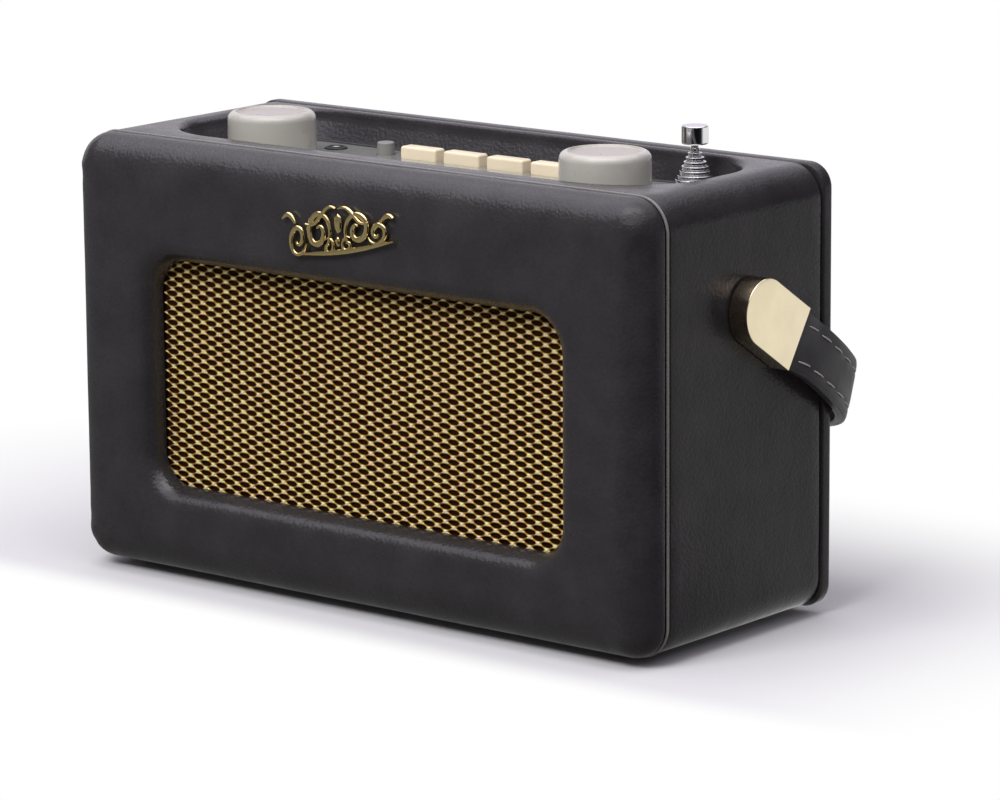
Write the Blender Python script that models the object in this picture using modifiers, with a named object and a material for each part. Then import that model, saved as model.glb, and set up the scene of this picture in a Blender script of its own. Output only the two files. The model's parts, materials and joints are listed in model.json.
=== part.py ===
"""A leather-covered portable radio with a strap handle, a sunk control panel and a telescopic aerial.

Metres, +Z up. The front faces -Y and +X is its right-hand side as its user sees it. Every piece is
placed in the cabinet's own frame: x and y from the cabinet's middle, z from its underside. The empty
radio_origin then lifts that frame onto the feet and centres the whole object, strap included, in Y.
"""

from math import cos, pi, radians, sin

import bmesh
import bpy
from mathutils import Matrix

# Driving dimensions
WIDTH = 0.210
HEIGHT = 0.1267
DEPTH = 0.088
CORNER_R = 0.0097
WALL, INNER_R = 0.0094, 0.003
GAP = 0.0003
FRONT_Y = -DEPTH / 2
BACK_Y = DEPTH / 2
MID_Z = HEIGHT / 2

# Front frame, its seam with the cabinet and the grille behind its window
SEAM_Y = -0.0318
SEAM_HALF = 0.0008
FRONT_ROUND = 0.0125
FRONT_CORNER_R = 0.004
PIPING_R = 0.0005
WINDOW_W, WINDOW_H, WINDOW_Z = 0.1494, 0.0664, 0.0588
WINDOW_R = 0.010
WINDOW_ROLL = 0.0068
WINDOW_DEPTH = 0.008
REBATE = 0.004
SHEET_EDGE = 0.003
GRILLE_T = 0.0008
CLOTH_T = 0.0005
BAFFLE_T, BAFFLE_Y, BAFFLE_H = 0.006, -0.0275, 0.1040
BAFFLE_FIT = 0.0006
SPEAKER_HOLE_R = 0.0335
SPEAKER_LIFT, FLANGE_R, FLANGE_T = 0.0014, 0.037, 0.0015
BASKET_R, BASKET_FOOT_R, BASKET_DEPTH, BASKET_WALL = 0.0316, 0.018, 0.0205, 0.0012
MAGNET_R, MAGNET_T, POLE_R, POLE_IN = 0.0225, 0.0132, 0.0069, 0.0042
SURROUND_R, CONE_R, CONE_DEPTH, CONE_LIFT = 0.0365, 0.0298, 0.0136, 0.0003
COIL_IN_R, COIL_OUT_R, COIL_END, PAPER_T = 0.0073, 0.0079, 0.0225, 0.0008

# Badge: a plain lens-shaped plate
BADGE_X, BADGE_Z, BADGE_T = 0.0004, 0.1086, 0.0016
BADGE_HALF_W, BADGE_HALF_H = 0.0206, 0.0085

# Rear panel and battery compartment
PANEL_T = 0.0049
REAR_ROUND, REAR_CORNER_R = 0.0017, 0.0070
DOOR_W, DOOR_H, DOOR_T = 0.1060, 0.0324, 0.003
DOOR_HINGE_Z, DOOR_GAP = 0.012, 0.0004
DIP_R, DIP_L, DIP_OUT, DIP_DOWN = 0.0035, 0.018, 0.0006, 0.0045
TRAY_LOW, TRAY_HIGH, TRAY_WALL = (-0.0553, 0.0195, 0.0098), (0.0553, 0.0386, 0.0470), 0.0014
CELL_R, CELL_L, CELL_NUB_R, CELL_NUB = 0.00725, 0.0505, 0.0027, 0.0011
CELL_X, CELL_Y, CELL_ROWS_Z = 0.0262, 0.0296, (0.0203, 0.0362)
SCREW_X, SCREW_LOW_Z, SCREW_HIGH_Z = 0.098, 0.0075, 0.1192
SCREW_R, SCREW_HEAD_R, SCREW_HEAD_H, SCREW_L = 0.0015, 0.0031, 0.0013, 0.0125
COUNTERBORE, PILOT_L = 0.002, 0.016
SOCKET_X, DC_Z, AUX_Z = 0.080, 0.024, 0.040
BARREL_R, BARREL_L, SOCKET_FLOOR = 0.0045, 0.011, 0.0015
DC_BORE_R, DC_PIN_R, AUX_BORE_R = 0.0028, 0.001, 0.0018

# Control well and what stands in it
WELL_W, WELL_R = 0.1766, 0.020
WELL_FRONT_Y, WELL_BACK_Y = -0.0218, 0.0333
WELL_SLOPE = 0.0027
TOP_Z = 0.1179
TOP_T = 0.002
KNOB_X, KNOB_Y, KNOB_R, KNOB_TOP = 0.0613, -0.0029, 0.01295, 0.0141
KNOB_LIFT, KNOB_EDGE_R, KNOB_LIP_R, KNOB_DISH = 0.0009, 0.0026, 0.0095, 0.0006
KNOB_BORE_R, KNOB_BORE_TOP = 0.0033, 0.0097
SHAFT_R, SHAFT_LOW, SHAFT_HOLE_R = 0.003, -0.0052, 0.0042
ENCODER_W, ENCODER_D, ENCODER_DOWN = 0.0124, 0.0132, 0.0009
ROW_Y = 0.0226
KEY_X, KEY_PITCH, KEY_W, KEY_D, KEY_TOP = -0.0015, 0.0161, 0.0132, 0.0049, 0.0036
KEY_PLAY, KEY_EDGE, KEY_FOOT = 0.0003, 0.0005, 0.0020
BUTTON_X, BUTTON_R, BUTTON_TOP = -0.0397, 0.00255, 0.0037
JACK_X, JACK_R, JACK_BORE_R, JACK_L, JACK_LIFT = -0.059, 0.0033, 0.0018, 0.010, 0.0004
DISPLAY_W, DISPLAY_D, DISPLAY_R, DISPLAY_T, DISPLAY_SINK = 0.046, 0.016, 0.0012, 0.0012, 0.0001
MODULE_W, MODULE_D, MODULE_T = 0.050, 0.020, 0.0045
BOARD_Z, BOARD_T = 0.1040, 0.0016
BOARD_X, BOARD_FRONT_Y, BOARD_BACK_Y, NOTCH_X, NOTCH_Y = 0.078, -0.020, 0.032, 0.050, 0.018
MAIN_LOW, MAIN_HIGH = (-0.060, 0.0136, 0.050), (0.046, 0.0152, 0.1015)
TUNER_LOW, TUNER_HIGH = (-0.028, 0.0155, 0.066), (0.006, 0.0195, 0.092)

# Aerial: nested tubes whose beads make a stepped cone when it is pushed in
AERIAL_X, AERIAL_Y = 0.0698, 0.0268
AERIAL_SECTIONS = 7
AERIAL_BEAD_R, AERIAL_STEP_R = 0.0050, 0.0006
AERIAL_BEAD_Z, AERIAL_STEP_Z, AERIAL_BEAD_H = 0.1221, 0.00125, 0.00080
AERIAL_FOOT_Z, AERIAL_FOOT_STEP = 0.034, 0.0005
AERIAL_WALL, AERIAL_BEAD_OUT = 0.00035, 0.00025
AERIAL_TIP_R, AERIAL_TIP_H, AERIAL_TIP_Z = 0.00375, 0.0052, 0.1308
AERIAL_NECK_R, AERIAL_NECK_IN, AERIAL_TIP_BORE, AERIAL_TIP_EDGE = 0.0011, 0.0030, 0.0014, 0.0003
COLLAR_R, COLLAR_PLAY, COLLAR_HOLE_R = 0.0058, 0.0002, 0.0052

# Handle
PIVOT_Y, PIVOT_Z = 0.0040, 0.0913
REST_DROP = radians(32.8)
STRAP_W, STRAP_T = 0.0174, 0.0037
STRAP_X, STRAP_REACH, STRAP_BEND_R = 0.1112, 0.0677, 0.0235
CAP_R, CAP_END, CAP_X, CAP_IN_X = 0.0094, 0.0181, 0.1115, 0.1054
STRAP_START = 0.007
PIN_R, PIN_PLAY, PIN_IN = 0.0038, 0.0005, 0.0040
NUT_R, NUT_T = 0.0062, 0.0030

# Feet
FOOT_R, FOOT_H, FOOT_SINK = 0.006, 0.002, 0.0004
FOOT_X, FOOT_FRONT_Y, FOOT_BACK_Y = 0.088, -0.023, 0.030
FOOT_EDGE = 0.0005

REAR_REACH = PIVOT_Y + STRAP_REACH * cos(REST_DROP) + STRAP_W / 2 * sin(REST_DROP)
FRONT_REACH = FRONT_Y - GAP - BADGE_T
SHIFT_Y = -(REAR_REACH + FRONT_REACH) / 2

FACE_FRONT = (pi / 2, 0, 0)
FACE_BACK = (-pi / 2, 0, 0)
FACE_RIGHT = (pi / 2, 0, pi / 2)
AXIS_RIGHT = (0, pi / 2, 0)
AXIS_LEFT = (0, -pi / 2, 0)

for old in list(bpy.data.objects):
    bpy.data.objects.remove(old, do_unlink=True)

PARTS = bpy.data.collections.new("leather_portable_radio")
CUTTERS = bpy.data.collections.new("cutters")
bpy.context.scene.collection.children.link(PARTS)
bpy.context.scene.collection.children.link(CUTTERS)
CUTTERS.hide_render = True


def finish(name, colour, roughness, metallic=0.0):
    """A Principled material of one colour."""
    made = bpy.data.materials.new(name)
    made.use_nodes = True
    shader = made.node_tree.nodes["Principled BSDF"]
    shader.inputs["Base Color"].default_value = (*colour, 1)
    shader.inputs["Roughness"].default_value = roughness
    shader.inputs["Metallic"].default_value = metallic
    return made


LEATHER = finish("charcoal leather", (0.038, 0.036, 0.040), 0.55)
STRAP_LEATHER = finish("black strap leather", (0.012, 0.011, 0.014), 0.5)
PIPING = finish("piping", (0.25, 0.23, 0.23), 0.45)
GOLD = finish("gold", (0.80, 0.58, 0.25), 0.22, 1.0)
PALE_GOLD = finish("pale gold", (0.86, 0.76, 0.52), 0.15, 1.0)
CHROME = finish("chrome", (0.82, 0.82, 0.84), 0.06, 1.0)
STEEL = finish("steel", (0.52, 0.52, 0.54), 0.3, 1.0)
CREAM = finish("cream plastic", (0.82, 0.70, 0.50), 0.4)
STONE = finish("stone plastic", (0.56, 0.53, 0.49), 0.38)
GREY = finish("grey plastic", (0.34, 0.33, 0.32), 0.45)
BLACK = finish("black plastic", (0.015, 0.015, 0.016), 0.4)
PANEL = finish("tinted panel", (0.20, 0.16, 0.11), 0.12, 0.6)
CLOTH = finish("speaker cloth", (0.008, 0.007, 0.006), 0.9)
PAPER = finish("speaker paper", (0.02, 0.02, 0.02), 0.8)
BOARD = finish("fibre board", (0.35, 0.24, 0.14), 0.75)
CIRCUIT = finish("circuit board", (0.02, 0.16, 0.06), 0.45)
GLASS = finish("display window", (0.01, 0.012, 0.014), 0.08)
RUBBER = finish("rubber", (0.02, 0.02, 0.02), 0.8)
CELL = finish("cell sleeve", (0.06, 0.18, 0.42), 0.4)

ORIGIN = bpy.data.objects.new("radio_origin", None)
PARTS.objects.link(ORIGIN)
ORIGIN.location = (0, SHIFT_Y, FOOT_H)


def add(name, data, material, location=(0, 0, 0), rotation=(0, 0, 0), parent=ORIGIN):
    """Links an object among the parts, or as a cutter where it has no material."""
    made = bpy.data.objects.new(name, data)
    made.parent = parent
    made.location = location
    made.rotation_euler = rotation
    if material:
        data.materials.append(material)
        PARTS.objects.link(made)
    else:
        made.hide_render = True
        made.display_type = "WIRE"
        CUTTERS.objects.link(made)
    return made


def arc(centre, radius, start, end, steps):
    """Points along an arc, its angles in quarter turns."""
    angles = [(start + (end - start) * i / steps) * pi / 2 for i in range(steps + 1)]
    return [(centre[0] + radius * cos(a), centre[1] + radius * sin(a)) for a in angles]


def rounded_rect(width, height, radius, centre=(0, 0), steps=5):
    """A rectangle with arc corners, counter-clockwise."""
    corners = ((1, 1), (-1, 1), (-1, -1), (1, -1))
    points = []
    for turn, (side_x, side_y) in enumerate(corners):
        middle = (centre[0] + side_x * (width / 2 - radius), centre[1] + side_y * (height / 2 - radius))
        points += arc(middle, radius, turn, turn + 1, steps)
    return points


def circle(radius, centre=(0, 0), steps=24):
    return arc(centre, radius, 0, 4, steps)[:-1]


def plate(name, outlines, thickness, material, location=(0, 0, 0), rotation=(0, 0, 0), parent=ORIGIN):
    """A flat outline of this thickness about its own plane. Outlines inside the first are holes."""
    curve = bpy.data.curves.new(name, "CURVE")
    curve.dimensions = "2D"
    curve.fill_mode = "BOTH"
    curve.extrude = thickness / 2
    for outline in outlines:
        spline = curve.splines.new("POLY")
        spline.points.add(len(outline) - 1)
        for point, (x, y) in zip(spline.points, outline):
            point.co = (x, y, 0, 1)
        spline.use_cyclic_u = True
    return add(name, curve, material, location, rotation, parent)


def as_mesh(piece):
    """The same piece as a mesh with its caps welded, so that it can be cut."""
    bpy.context.view_layer.update()
    graph = bpy.context.evaluated_depsgraph_get()
    mesh = bpy.data.meshes.new_from_object(piece.evaluated_get(graph))
    shape = bmesh.new()
    shape.from_mesh(mesh)
    bmesh.ops.remove_doubles(shape, verts=shape.verts, dist=1e-6)
    shape.to_mesh(mesh)
    shape.free()
    name = piece.name
    made = bpy.data.objects.new(name + "_mesh", mesh)
    for collection in piece.users_collection:
        collection.objects.link(made)
    made.parent = piece.parent
    made.location = piece.location
    made.rotation_euler = piece.rotation_euler
    made.hide_render = piece.hide_render
    made.display_type = piece.display_type
    bpy.data.objects.remove(piece, do_unlink=True)
    made.name = name
    return made


def turned(name, profile, steps, material, location=(0, 0, 0), rotation=(0, 0, 0), ring=False, parent=ORIGIN):
    """(radius, height) points, down the outer side, turned about Z. A ring's profile closes on itself."""
    mesh = bpy.data.meshes.new(name)
    edges = [(i, i + 1) for i in range(len(profile) - 1)]
    if ring:
        edges.append((len(profile) - 1, 0))
    mesh.from_pydata([(r, 0, z) for r, z in profile], edges, [])
    made = add(name, mesh, material, location, rotation, parent)
    screw = made.modifiers.new("Turn", "SCREW")
    screw.steps = screw.render_steps = steps
    screw.use_merge_vertices = True
    screw.merge_threshold = 1e-5
    screw.use_smooth_shade = True
    return made


def block(name, size, material, location, bevel=0.0, segments=2, parent=ORIGIN):
    """A box about its own middle, with its edges rounded by a Bevel where one is given."""
    mesh = bpy.data.meshes.new(name)
    shape = bmesh.new()
    bmesh.ops.create_cube(shape, size=1, matrix=Matrix.Diagonal((*size, 1)))
    shape.to_mesh(mesh)
    shape.free()
    made = add(name, mesh, material, location, parent=parent)
    if bevel:
        rounding = made.modifiers.new("Round", "BEVEL")
        rounding.width = bevel
        rounding.segments = segments
    return made


def block_between(name, low, high, material, bevel=0.0, segments=2):
    size = [b - a for a, b in zip(low, high)]
    return block(name, size, material, [(a + b) / 2 for a, b in zip(low, high)], bevel, segments)


def loft(name, rings, material, closed):
    """Rings of equally many points joined in turn. It is closed on itself, or capped at both ends."""
    mesh = bpy.data.meshes.new(name)
    shape = bmesh.new()
    rows = [[shape.verts.new(point) for point in ring] for ring in rings]
    for row, following in zip(rows, rows[1:] + rows[:1] if closed else rows[1:]):
        for i in range(len(row)):
            shape.faces.new((row[i - 1], row[i], following[i], following[i - 1]))
    if not closed:
        shape.faces.new(rows[0])
        shape.faces.new(reversed(rows[-1]))
    bmesh.ops.recalc_face_normals(shape, faces=shape.faces)
    shape.to_mesh(mesh)
    shape.free()
    return add(name, mesh, material)


def cut(piece, *cutters):
    for cutter in cutters:
        boolean = piece.modifiers.new(cutter.name, "BOOLEAN")
        boolean.operation = "DIFFERENCE"
        boolean.solver = "EXACT"
        boolean.object = cutter


def round_cutter(name, radius, length, location, rotation=(0, 0, 0), steps=24):
    """A cylinder about its own middle, along its own Z."""
    profile = [(0, length / 2), (radius, length / 2), (radius, -length / 2), (0, -length / 2)]
    return turned(name, profile, steps, None, location, rotation)


def upright_ring(width, height, radius, y, centre_z=MID_Z):
    return [(x, y, z) for x, z in rounded_rect(width, height, radius, (0, centre_z))]


def front_frame():
    """The moulded front: rounded outside, its window's edge rolling in, a rebate behind for the grille."""
    back = SEAM_Y - SEAM_HALF
    rings = []
    steps = 5
    for i in range(steps + 1):
        angle = i / steps * pi / 2
        inset = FRONT_ROUND * (1 - cos(angle))
        corner = max(CORNER_R - inset, FRONT_CORNER_R)
        y = back + (FRONT_Y - back) * sin(angle)
        rings.append(upright_ring(WIDTH - 2 * inset, HEIGHT - 2 * inset, corner, y))
    for i in range(steps + 1):
        angle = i / steps * pi / 2
        out = 2 * WINDOW_ROLL * (1 - sin(angle))
        y = FRONT_Y + WINDOW_DEPTH * (1 - cos(angle))
        rings.append(upright_ring(WINDOW_W + out, WINDOW_H + out, WINDOW_R + out / 2, y, WINDOW_Z))
    for y in (FRONT_Y + WINDOW_DEPTH, back):
        size = (WINDOW_W + 2 * REBATE, WINDOW_H + 2 * REBATE)
        rings.append(upright_ring(*size, WINDOW_R, y, WINDOW_Z))
    loft("front_frame", rings, LEATHER, closed=True)


def front_piping():
    """A thin bead in the seam, right round the cabinet."""
    curve = bpy.data.curves.new("front_piping", "CURVE")
    curve.dimensions = "3D"
    curve.bevel_depth = PIPING_R
    curve.bevel_resolution = 1
    outline = rounded_rect(WIDTH - PIPING_R, HEIGHT - PIPING_R, CORNER_R)
    spline = curve.splines.new("POLY")
    spline.points.add(len(outline) - 1)
    for point, (x, y) in zip(spline.points, outline):
        point.co = (x, y, 0, 1)
    spline.use_cyclic_u = True
    add("front_piping", curve, PIPING, (0, SEAM_Y, MID_Z), FACE_FRONT)


def well_outline(gap=0.0):
    middle = (0, (WELL_FRONT_Y + WELL_BACK_Y) / 2)
    depth = WELL_BACK_Y - WELL_FRONT_Y
    return rounded_rect(WELL_W - 2 * gap, depth - 2 * gap, WELL_R - gap, middle)


def well_cutter():
    """The well, upright round the control panel and sloping out above it to a wider rim."""
    heights = ((HEIGHT - 2 * WALL, 0), (TOP_Z, 0), (HEIGHT, -WELL_SLOPE), (HEIGHT + WALL, -WELL_SLOPE))
    rings = [[(x, y, z) for x, y in well_outline(gap)] for z, gap in heights]
    return loft("well_cutter", rings, None, closed=False)


def foot_places():
    for row, y in (("front", FOOT_FRONT_Y), ("rear", FOOT_BACK_Y)):
        for side, x in (("left", -FOOT_X), ("right", FOOT_X)):
            yield f"{row}_{side}", x, y


def screw_places():
    for row, z in (("lower", SCREW_LOW_Z), ("upper", SCREW_HIGH_Z)):
        for side, x in (("left", -SCREW_X), ("right", SCREW_X)):
            yield f"{row}_{side}", x, z


def cabinet_shell():
    """The wooden tube under its leather, with the well through its top."""
    front = SEAM_Y + SEAM_HALF
    back = BACK_Y - PANEL_T - 2 * GAP
    outside = rounded_rect(WIDTH, HEIGHT, CORNER_R)
    inside = rounded_rect(WIDTH - 2 * WALL, HEIGHT - 2 * WALL, INNER_R, steps=2)
    middle = (0, (front + back) / 2, MID_Z)
    shell = as_mesh(plate("cabinet_shell", [outside, inside], back - front, LEATHER, middle, FACE_FRONT))
    pivot = round_cutter("pivot_cutter", PIN_R + PIN_PLAY, 2 * WIDTH, (0, PIVOT_Y, PIVOT_Z), AXIS_RIGHT)
    cut(shell, well_cutter(), pivot)
    for name, x, y in foot_places():
        depth = 2 * (FOOT_SINK + GAP)
        cut(shell, round_cutter(f"foot_cutter_{name}", FOOT_R + GAP, depth, (x, y, 0), steps=20))
    for name, x, z in screw_places():
        cut(shell, round_cutter(f"pilot_cutter_{name}", SCREW_R + GAP, PILOT_L, (x, back, z), FACE_FRONT, 12))


def rear_panel():
    """The leather-covered back, cut for the battery door, two sockets and four screws."""
    rings = [upright_ring(WIDTH, HEIGHT, REAR_CORNER_R, BACK_Y - PANEL_T)]
    steps = 3
    for i in range(steps + 1):
        angle = i / steps * pi / 2
        inset = REAR_ROUND * (1 - cos(angle))
        y = BACK_Y - REAR_ROUND * (1 - sin(angle))
        rings.append(upright_ring(WIDTH - 2 * inset, HEIGHT - 2 * inset, REAR_CORNER_R - inset, y))
    panel = loft("rear_panel", rings, LEATHER, closed=False)
    through = 4 * PANEL_T
    door_size = (DOOR_W + 2 * DOOR_GAP, through, DOOR_H + 2 * DOOR_GAP)
    door_middle = (0, BACK_Y, DOOR_HINGE_Z + DOOR_GAP + DOOR_H / 2)
    cut(panel, block("door_cutter", door_size, None, door_middle))
    for name, z in (("dc", DC_Z), ("aux", AUX_Z)):
        place = (SOCKET_X, BACK_Y, z)
        cut(panel, round_cutter(f"{name}_cutter", BARREL_R + GAP, through, place, FACE_FRONT, 20))
    head, shank = SCREW_HEAD_R + GAP, SCREW_R + GAP
    low, high = -2 * PANEL_T, 2 * COUNTERBORE
    profile = [(0, high), (head, high), (head, -COUNTERBORE), (shank, -COUNTERBORE), (shank, low), (0, low)]
    for name, x, z in screw_places():
        cut(panel, turned(f"screw_cutter_{name}", profile, 12, None, (x, BACK_Y, z), FACE_BACK))


def rear_screws():
    """Pan-head screws, each head down in its counterbore."""
    for name, x, z in screw_places():
        slope = 0.4 * SCREW_HEAD_H
        profile = [(0, 0), (0.8 * SCREW_HEAD_R, 0), (SCREW_HEAD_R, -slope), (SCREW_HEAD_R, -SCREW_HEAD_H)]
        profile += [(SCREW_R, -SCREW_HEAD_H), (SCREW_R, -SCREW_L + 0.001), (0, -SCREW_L)]
        turned(f"rear_screw_{name}", profile, 12, STEEL, (x, BACK_Y - GAP, z), FACE_BACK)


def battery_door():
    """A flush door that swings about the back face's line just under it, with a finger dip at its top."""
    hinge = bpy.data.objects.new("battery_door_axis", None)
    PARTS.objects.link(hinge)
    hinge.parent = ORIGIN
    hinge.location = (0, BACK_Y, DOOR_HINGE_Z)
    middle = (0, -DOOR_T / 2, DOOR_GAP + DOOR_H / 2)
    door = block("battery_door", (DOOR_W, DOOR_T, DOOR_H), LEATHER, middle, parent=hinge)
    dip_place = (0, DIP_OUT, DOOR_GAP + DOOR_H - DIP_DOWN)
    dip = round_cutter("dip_cutter", DIP_R, DIP_L, dip_place, AXIS_RIGHT, 16)
    dip.parent = hinge
    cut(door, dip)


def battery_box():
    """A tray open to the back, holding four cells in two rows."""
    tray = block_between("battery_box", TRAY_LOW, TRAY_HIGH, BLACK)
    inner_low = [a + TRAY_WALL for a in TRAY_LOW]
    inner_high = (TRAY_HIGH[0] - TRAY_WALL, TRAY_HIGH[1] + TRAY_WALL, TRAY_HIGH[2] - TRAY_WALL)
    cut(tray, block_between("tray_cutter", inner_low, inner_high, None))
    end, step = CELL_L / 2, CELL_L / 2 - CELL_NUB
    profile = [(0, end), (CELL_NUB_R, end), (CELL_NUB_R, step), (CELL_R, step), (CELL_R, -end), (0, -end)]
    number = 1
    for z, turn in zip(CELL_ROWS_Z, (AXIS_RIGHT, AXIS_LEFT)):
        for x in (-CELL_X, CELL_X):
            turned(f"battery_{number}", profile, 16, CELL, (x, CELL_Y, z), turn)
            number += 1


def grille():
    """The metal mesh as a plain sheet, the dark cloth behind it and the board that carries the speaker."""
    sheet = rounded_rect(WINDOW_W + 2 * SHEET_EDGE, WINDOW_H + 2 * SHEET_EDGE, 0.8 * WINDOW_R)
    y = FRONT_Y + WINDOW_DEPTH + GAP + GRILLE_T / 2
    plate("grille_mesh", [sheet], GRILLE_T, GOLD, (0, y, WINDOW_Z), FACE_FRONT)
    y += GRILLE_T / 2 + GAP + CLOTH_T / 2
    plate("grille_cloth", [sheet], CLOTH_T, CLOTH, (0, y, WINDOW_Z), FACE_FRONT)
    middle_z = WALL + BAFFLE_FIT + BAFFLE_H / 2
    board = rounded_rect(WIDTH - 2 * WALL - 2 * BAFFLE_FIT, BAFFLE_H, 0.8 * INNER_R, steps=2)
    holes = [board, circle(SPEAKER_HOLE_R, (0, WINDOW_Z - middle_z), 32)]
    plate("baffle_board", holes, BAFFLE_T, BOARD, (0, BAFFLE_Y, middle_z), FACE_FRONT)


def speaker():
    """A small full-range driver: basket, magnet, cone with its coil former, and dust cap, facing front."""
    place = (0, BAFFLE_Y + BAFFLE_T / 2 + SPEAKER_LIFT, WINDOW_Z)
    floor = -BASKET_DEPTH
    throat_r = COIL_OUT_R + 2 * GAP
    basket = [(FLANGE_R, 0), (FLANGE_R, -FLANGE_T), (BASKET_R, -FLANGE_T), (BASKET_FOOT_R, floor)]
    basket += [(throat_r, floor), (throat_r, floor + BASKET_WALL)]
    basket += [(BASKET_FOOT_R - 0.7 * BASKET_WALL, floor + BASKET_WALL), (BASKET_R - BASKET_WALL, 0)]
    turned("speaker_basket", basket, 32, STEEL, place, FACE_FRONT, ring=True)
    face = floor - GAP
    magnet = [(0, face), (POLE_R, face), (POLE_R, face - POLE_IN), (throat_r, face - POLE_IN)]
    magnet += [(throat_r, face), (MAGNET_R, face), (MAGNET_R, face - MAGNET_T), (0, face - MAGNET_T)]
    turned("speaker_magnet", magnet, 32, STEEL, place, FACE_FRONT)
    front, inner = CONE_LIFT + PAPER_T, PAPER_T - CONE_DEPTH
    cone = [(SURROUND_R, front), (SURROUND_R, CONE_LIFT), (CONE_R, CONE_LIFT)]
    cone += [(COIL_OUT_R + 0.0011, -CONE_DEPTH), (COIL_OUT_R, -CONE_DEPTH), (COIL_OUT_R, -COIL_END)]
    cone += [(COIL_IN_R, -COIL_END), (COIL_IN_R, inner), (COIL_IN_R + 0.0013, inner)]
    cone.append((CONE_R - 0.5 * PAPER_T, front))
    turned("speaker_cone", cone, 32, PAPER, place, FACE_FRONT, ring=True)
    rim_r, base, bulge = COIL_IN_R + 0.0009, inner + GAP, inner + 0.003
    cap = [(0, bulge), (0.5 * rim_r, bulge - 0.0005), (0.85 * rim_r, bulge - 0.0018), (rim_r, base)]
    cap.append((0, base))
    turned("speaker_dust_cap", cap, 24, PAPER, place, FACE_FRONT)


def badge():
    """A plain lens-shaped plate, pointed at both ends."""
    turns = [pi * i / 12 for i in range(13)]
    upper = [(BADGE_HALF_W * cos(turn), BADGE_HALF_H * sin(turn) ** 2) for turn in turns]
    lower = [(-x, -y) for x, y in upper[1:-1]]
    place = (BADGE_X, FRONT_Y - GAP - BADGE_T / 2, BADGE_Z)
    plate("badge", [upper + lower], BADGE_T, GOLD, place, FACE_FRONT)


def key_places():
    return [KEY_X + (i - 1.5) * KEY_PITCH for i in range(4)]


def control_panel():
    """The sunk top plate with its holes, and the boards, display and socket under it."""
    slot = (KEY_W + 2 * KEY_PLAY, KEY_D + 2 * KEY_PLAY, KEY_EDGE + KEY_PLAY)
    holes = [well_outline(GAP)]
    holes += [circle(SHAFT_HOLE_R, (side * KNOB_X, KNOB_Y)) for side in (-1, 1)]
    holes += [rounded_rect(*slot, (x, ROW_Y), 2) for x in key_places()]
    holes.append(circle(BUTTON_R + KEY_PLAY, (BUTTON_X, ROW_Y), 20))
    holes.append(circle(JACK_R + GAP, (JACK_X, ROW_Y), 20))
    holes.append(rounded_rect(DISPLAY_W + 2 * GAP, DISPLAY_D + 2 * GAP, DISPLAY_R + GAP, (0, KNOB_Y), 3))
    holes.append(circle(COLLAR_HOLE_R, (AERIAL_X, AERIAL_Y)))
    plate("control_panel", holes, TOP_T, PANEL, (0, 0, TOP_Z - TOP_T / 2))
    window = rounded_rect(DISPLAY_W, DISPLAY_D, DISPLAY_R, (0, KNOB_Y), 3)
    plate("display_window", [window], DISPLAY_T, GLASS, (0, 0, TOP_Z - DISPLAY_SINK - DISPLAY_T / 2))
    module_z = TOP_Z - TOP_T - 2 * GAP - MODULE_T / 2
    block("display_module", (MODULE_W, MODULE_D, MODULE_T), BLACK, (0, KNOB_Y, module_z), KEY_EDGE, 1)
    outline = [(-BOARD_X, BOARD_FRONT_Y), (BOARD_X, BOARD_FRONT_Y), (BOARD_X, NOTCH_Y), (NOTCH_X, NOTCH_Y)]
    outline += [(NOTCH_X, BOARD_BACK_Y), (-BOARD_X, BOARD_BACK_Y)]
    plate("key_board", [outline], BOARD_T, CIRCUIT, (0, 0, BOARD_Z + BOARD_T / 2))
    jack = [(JACK_R, JACK_LIFT), (JACK_R, -JACK_L), (JACK_BORE_R, -JACK_L), (JACK_BORE_R, JACK_LIFT)]
    turned("headphone_socket", jack, 20, BLACK, (JACK_X, ROW_Y, TOP_Z), ring=True)


def knob(name, side):
    """A dished knob with a bored underside, its shaft and the encoder that the shaft turns."""
    place = (side * KNOB_X, KNOB_Y, TOP_Z)
    profile = [(0, KNOB_TOP - KNOB_DISH), (KNOB_LIP_R, KNOB_TOP - KNOB_DISH)]
    profile += arc((KNOB_R - KNOB_EDGE_R, KNOB_TOP - KNOB_EDGE_R), KNOB_EDGE_R, 1, 0, 4)
    profile += [(KNOB_R, KNOB_LIFT), (KNOB_BORE_R, KNOB_LIFT), (KNOB_BORE_R, KNOB_BORE_TOP)]
    profile.append((0, KNOB_BORE_TOP))
    turned(f"{name}_knob", profile, 32, STONE, place)
    top = KNOB_BORE_TOP - GAP
    shaft = [(0, top), (SHAFT_R, top), (SHAFT_R, SHAFT_LOW), (0, SHAFT_LOW)]
    turned(f"{name}_shaft", shaft, 16, STEEL, place)
    low, high = BOARD_Z + BOARD_T + GAP, TOP_Z + SHAFT_LOW - ENCODER_DOWN
    size = (ENCODER_W, ENCODER_D, high - low)
    block(f"{name}_encoder", size, BLACK, (side * KNOB_X, KNOB_Y, (low + high) / 2), KEY_EDGE, 1)


def keys():
    """Four cream keys and a round power button, each reaching down towards its switch."""
    low = BOARD_Z + BOARD_T + KEY_FOOT
    for number, x in enumerate(key_places(), 1):
        height = TOP_Z + KEY_TOP - low
        place = (x, ROW_Y, low + height / 2)
        block(f"preset_key_{number}", (KEY_W, KEY_D, height), CREAM, place, KEY_EDGE, 2)
    top = BUTTON_TOP
    profile = [(0, top), (BUTTON_R - KEY_EDGE, top), (BUTTON_R, top - KEY_EDGE), (BUTTON_R, low - TOP_Z)]
    profile.append((0, low - TOP_Z))
    turned("power_button", profile, 20, GREY, (BUTTON_X, ROW_Y, TOP_Z))


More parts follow.
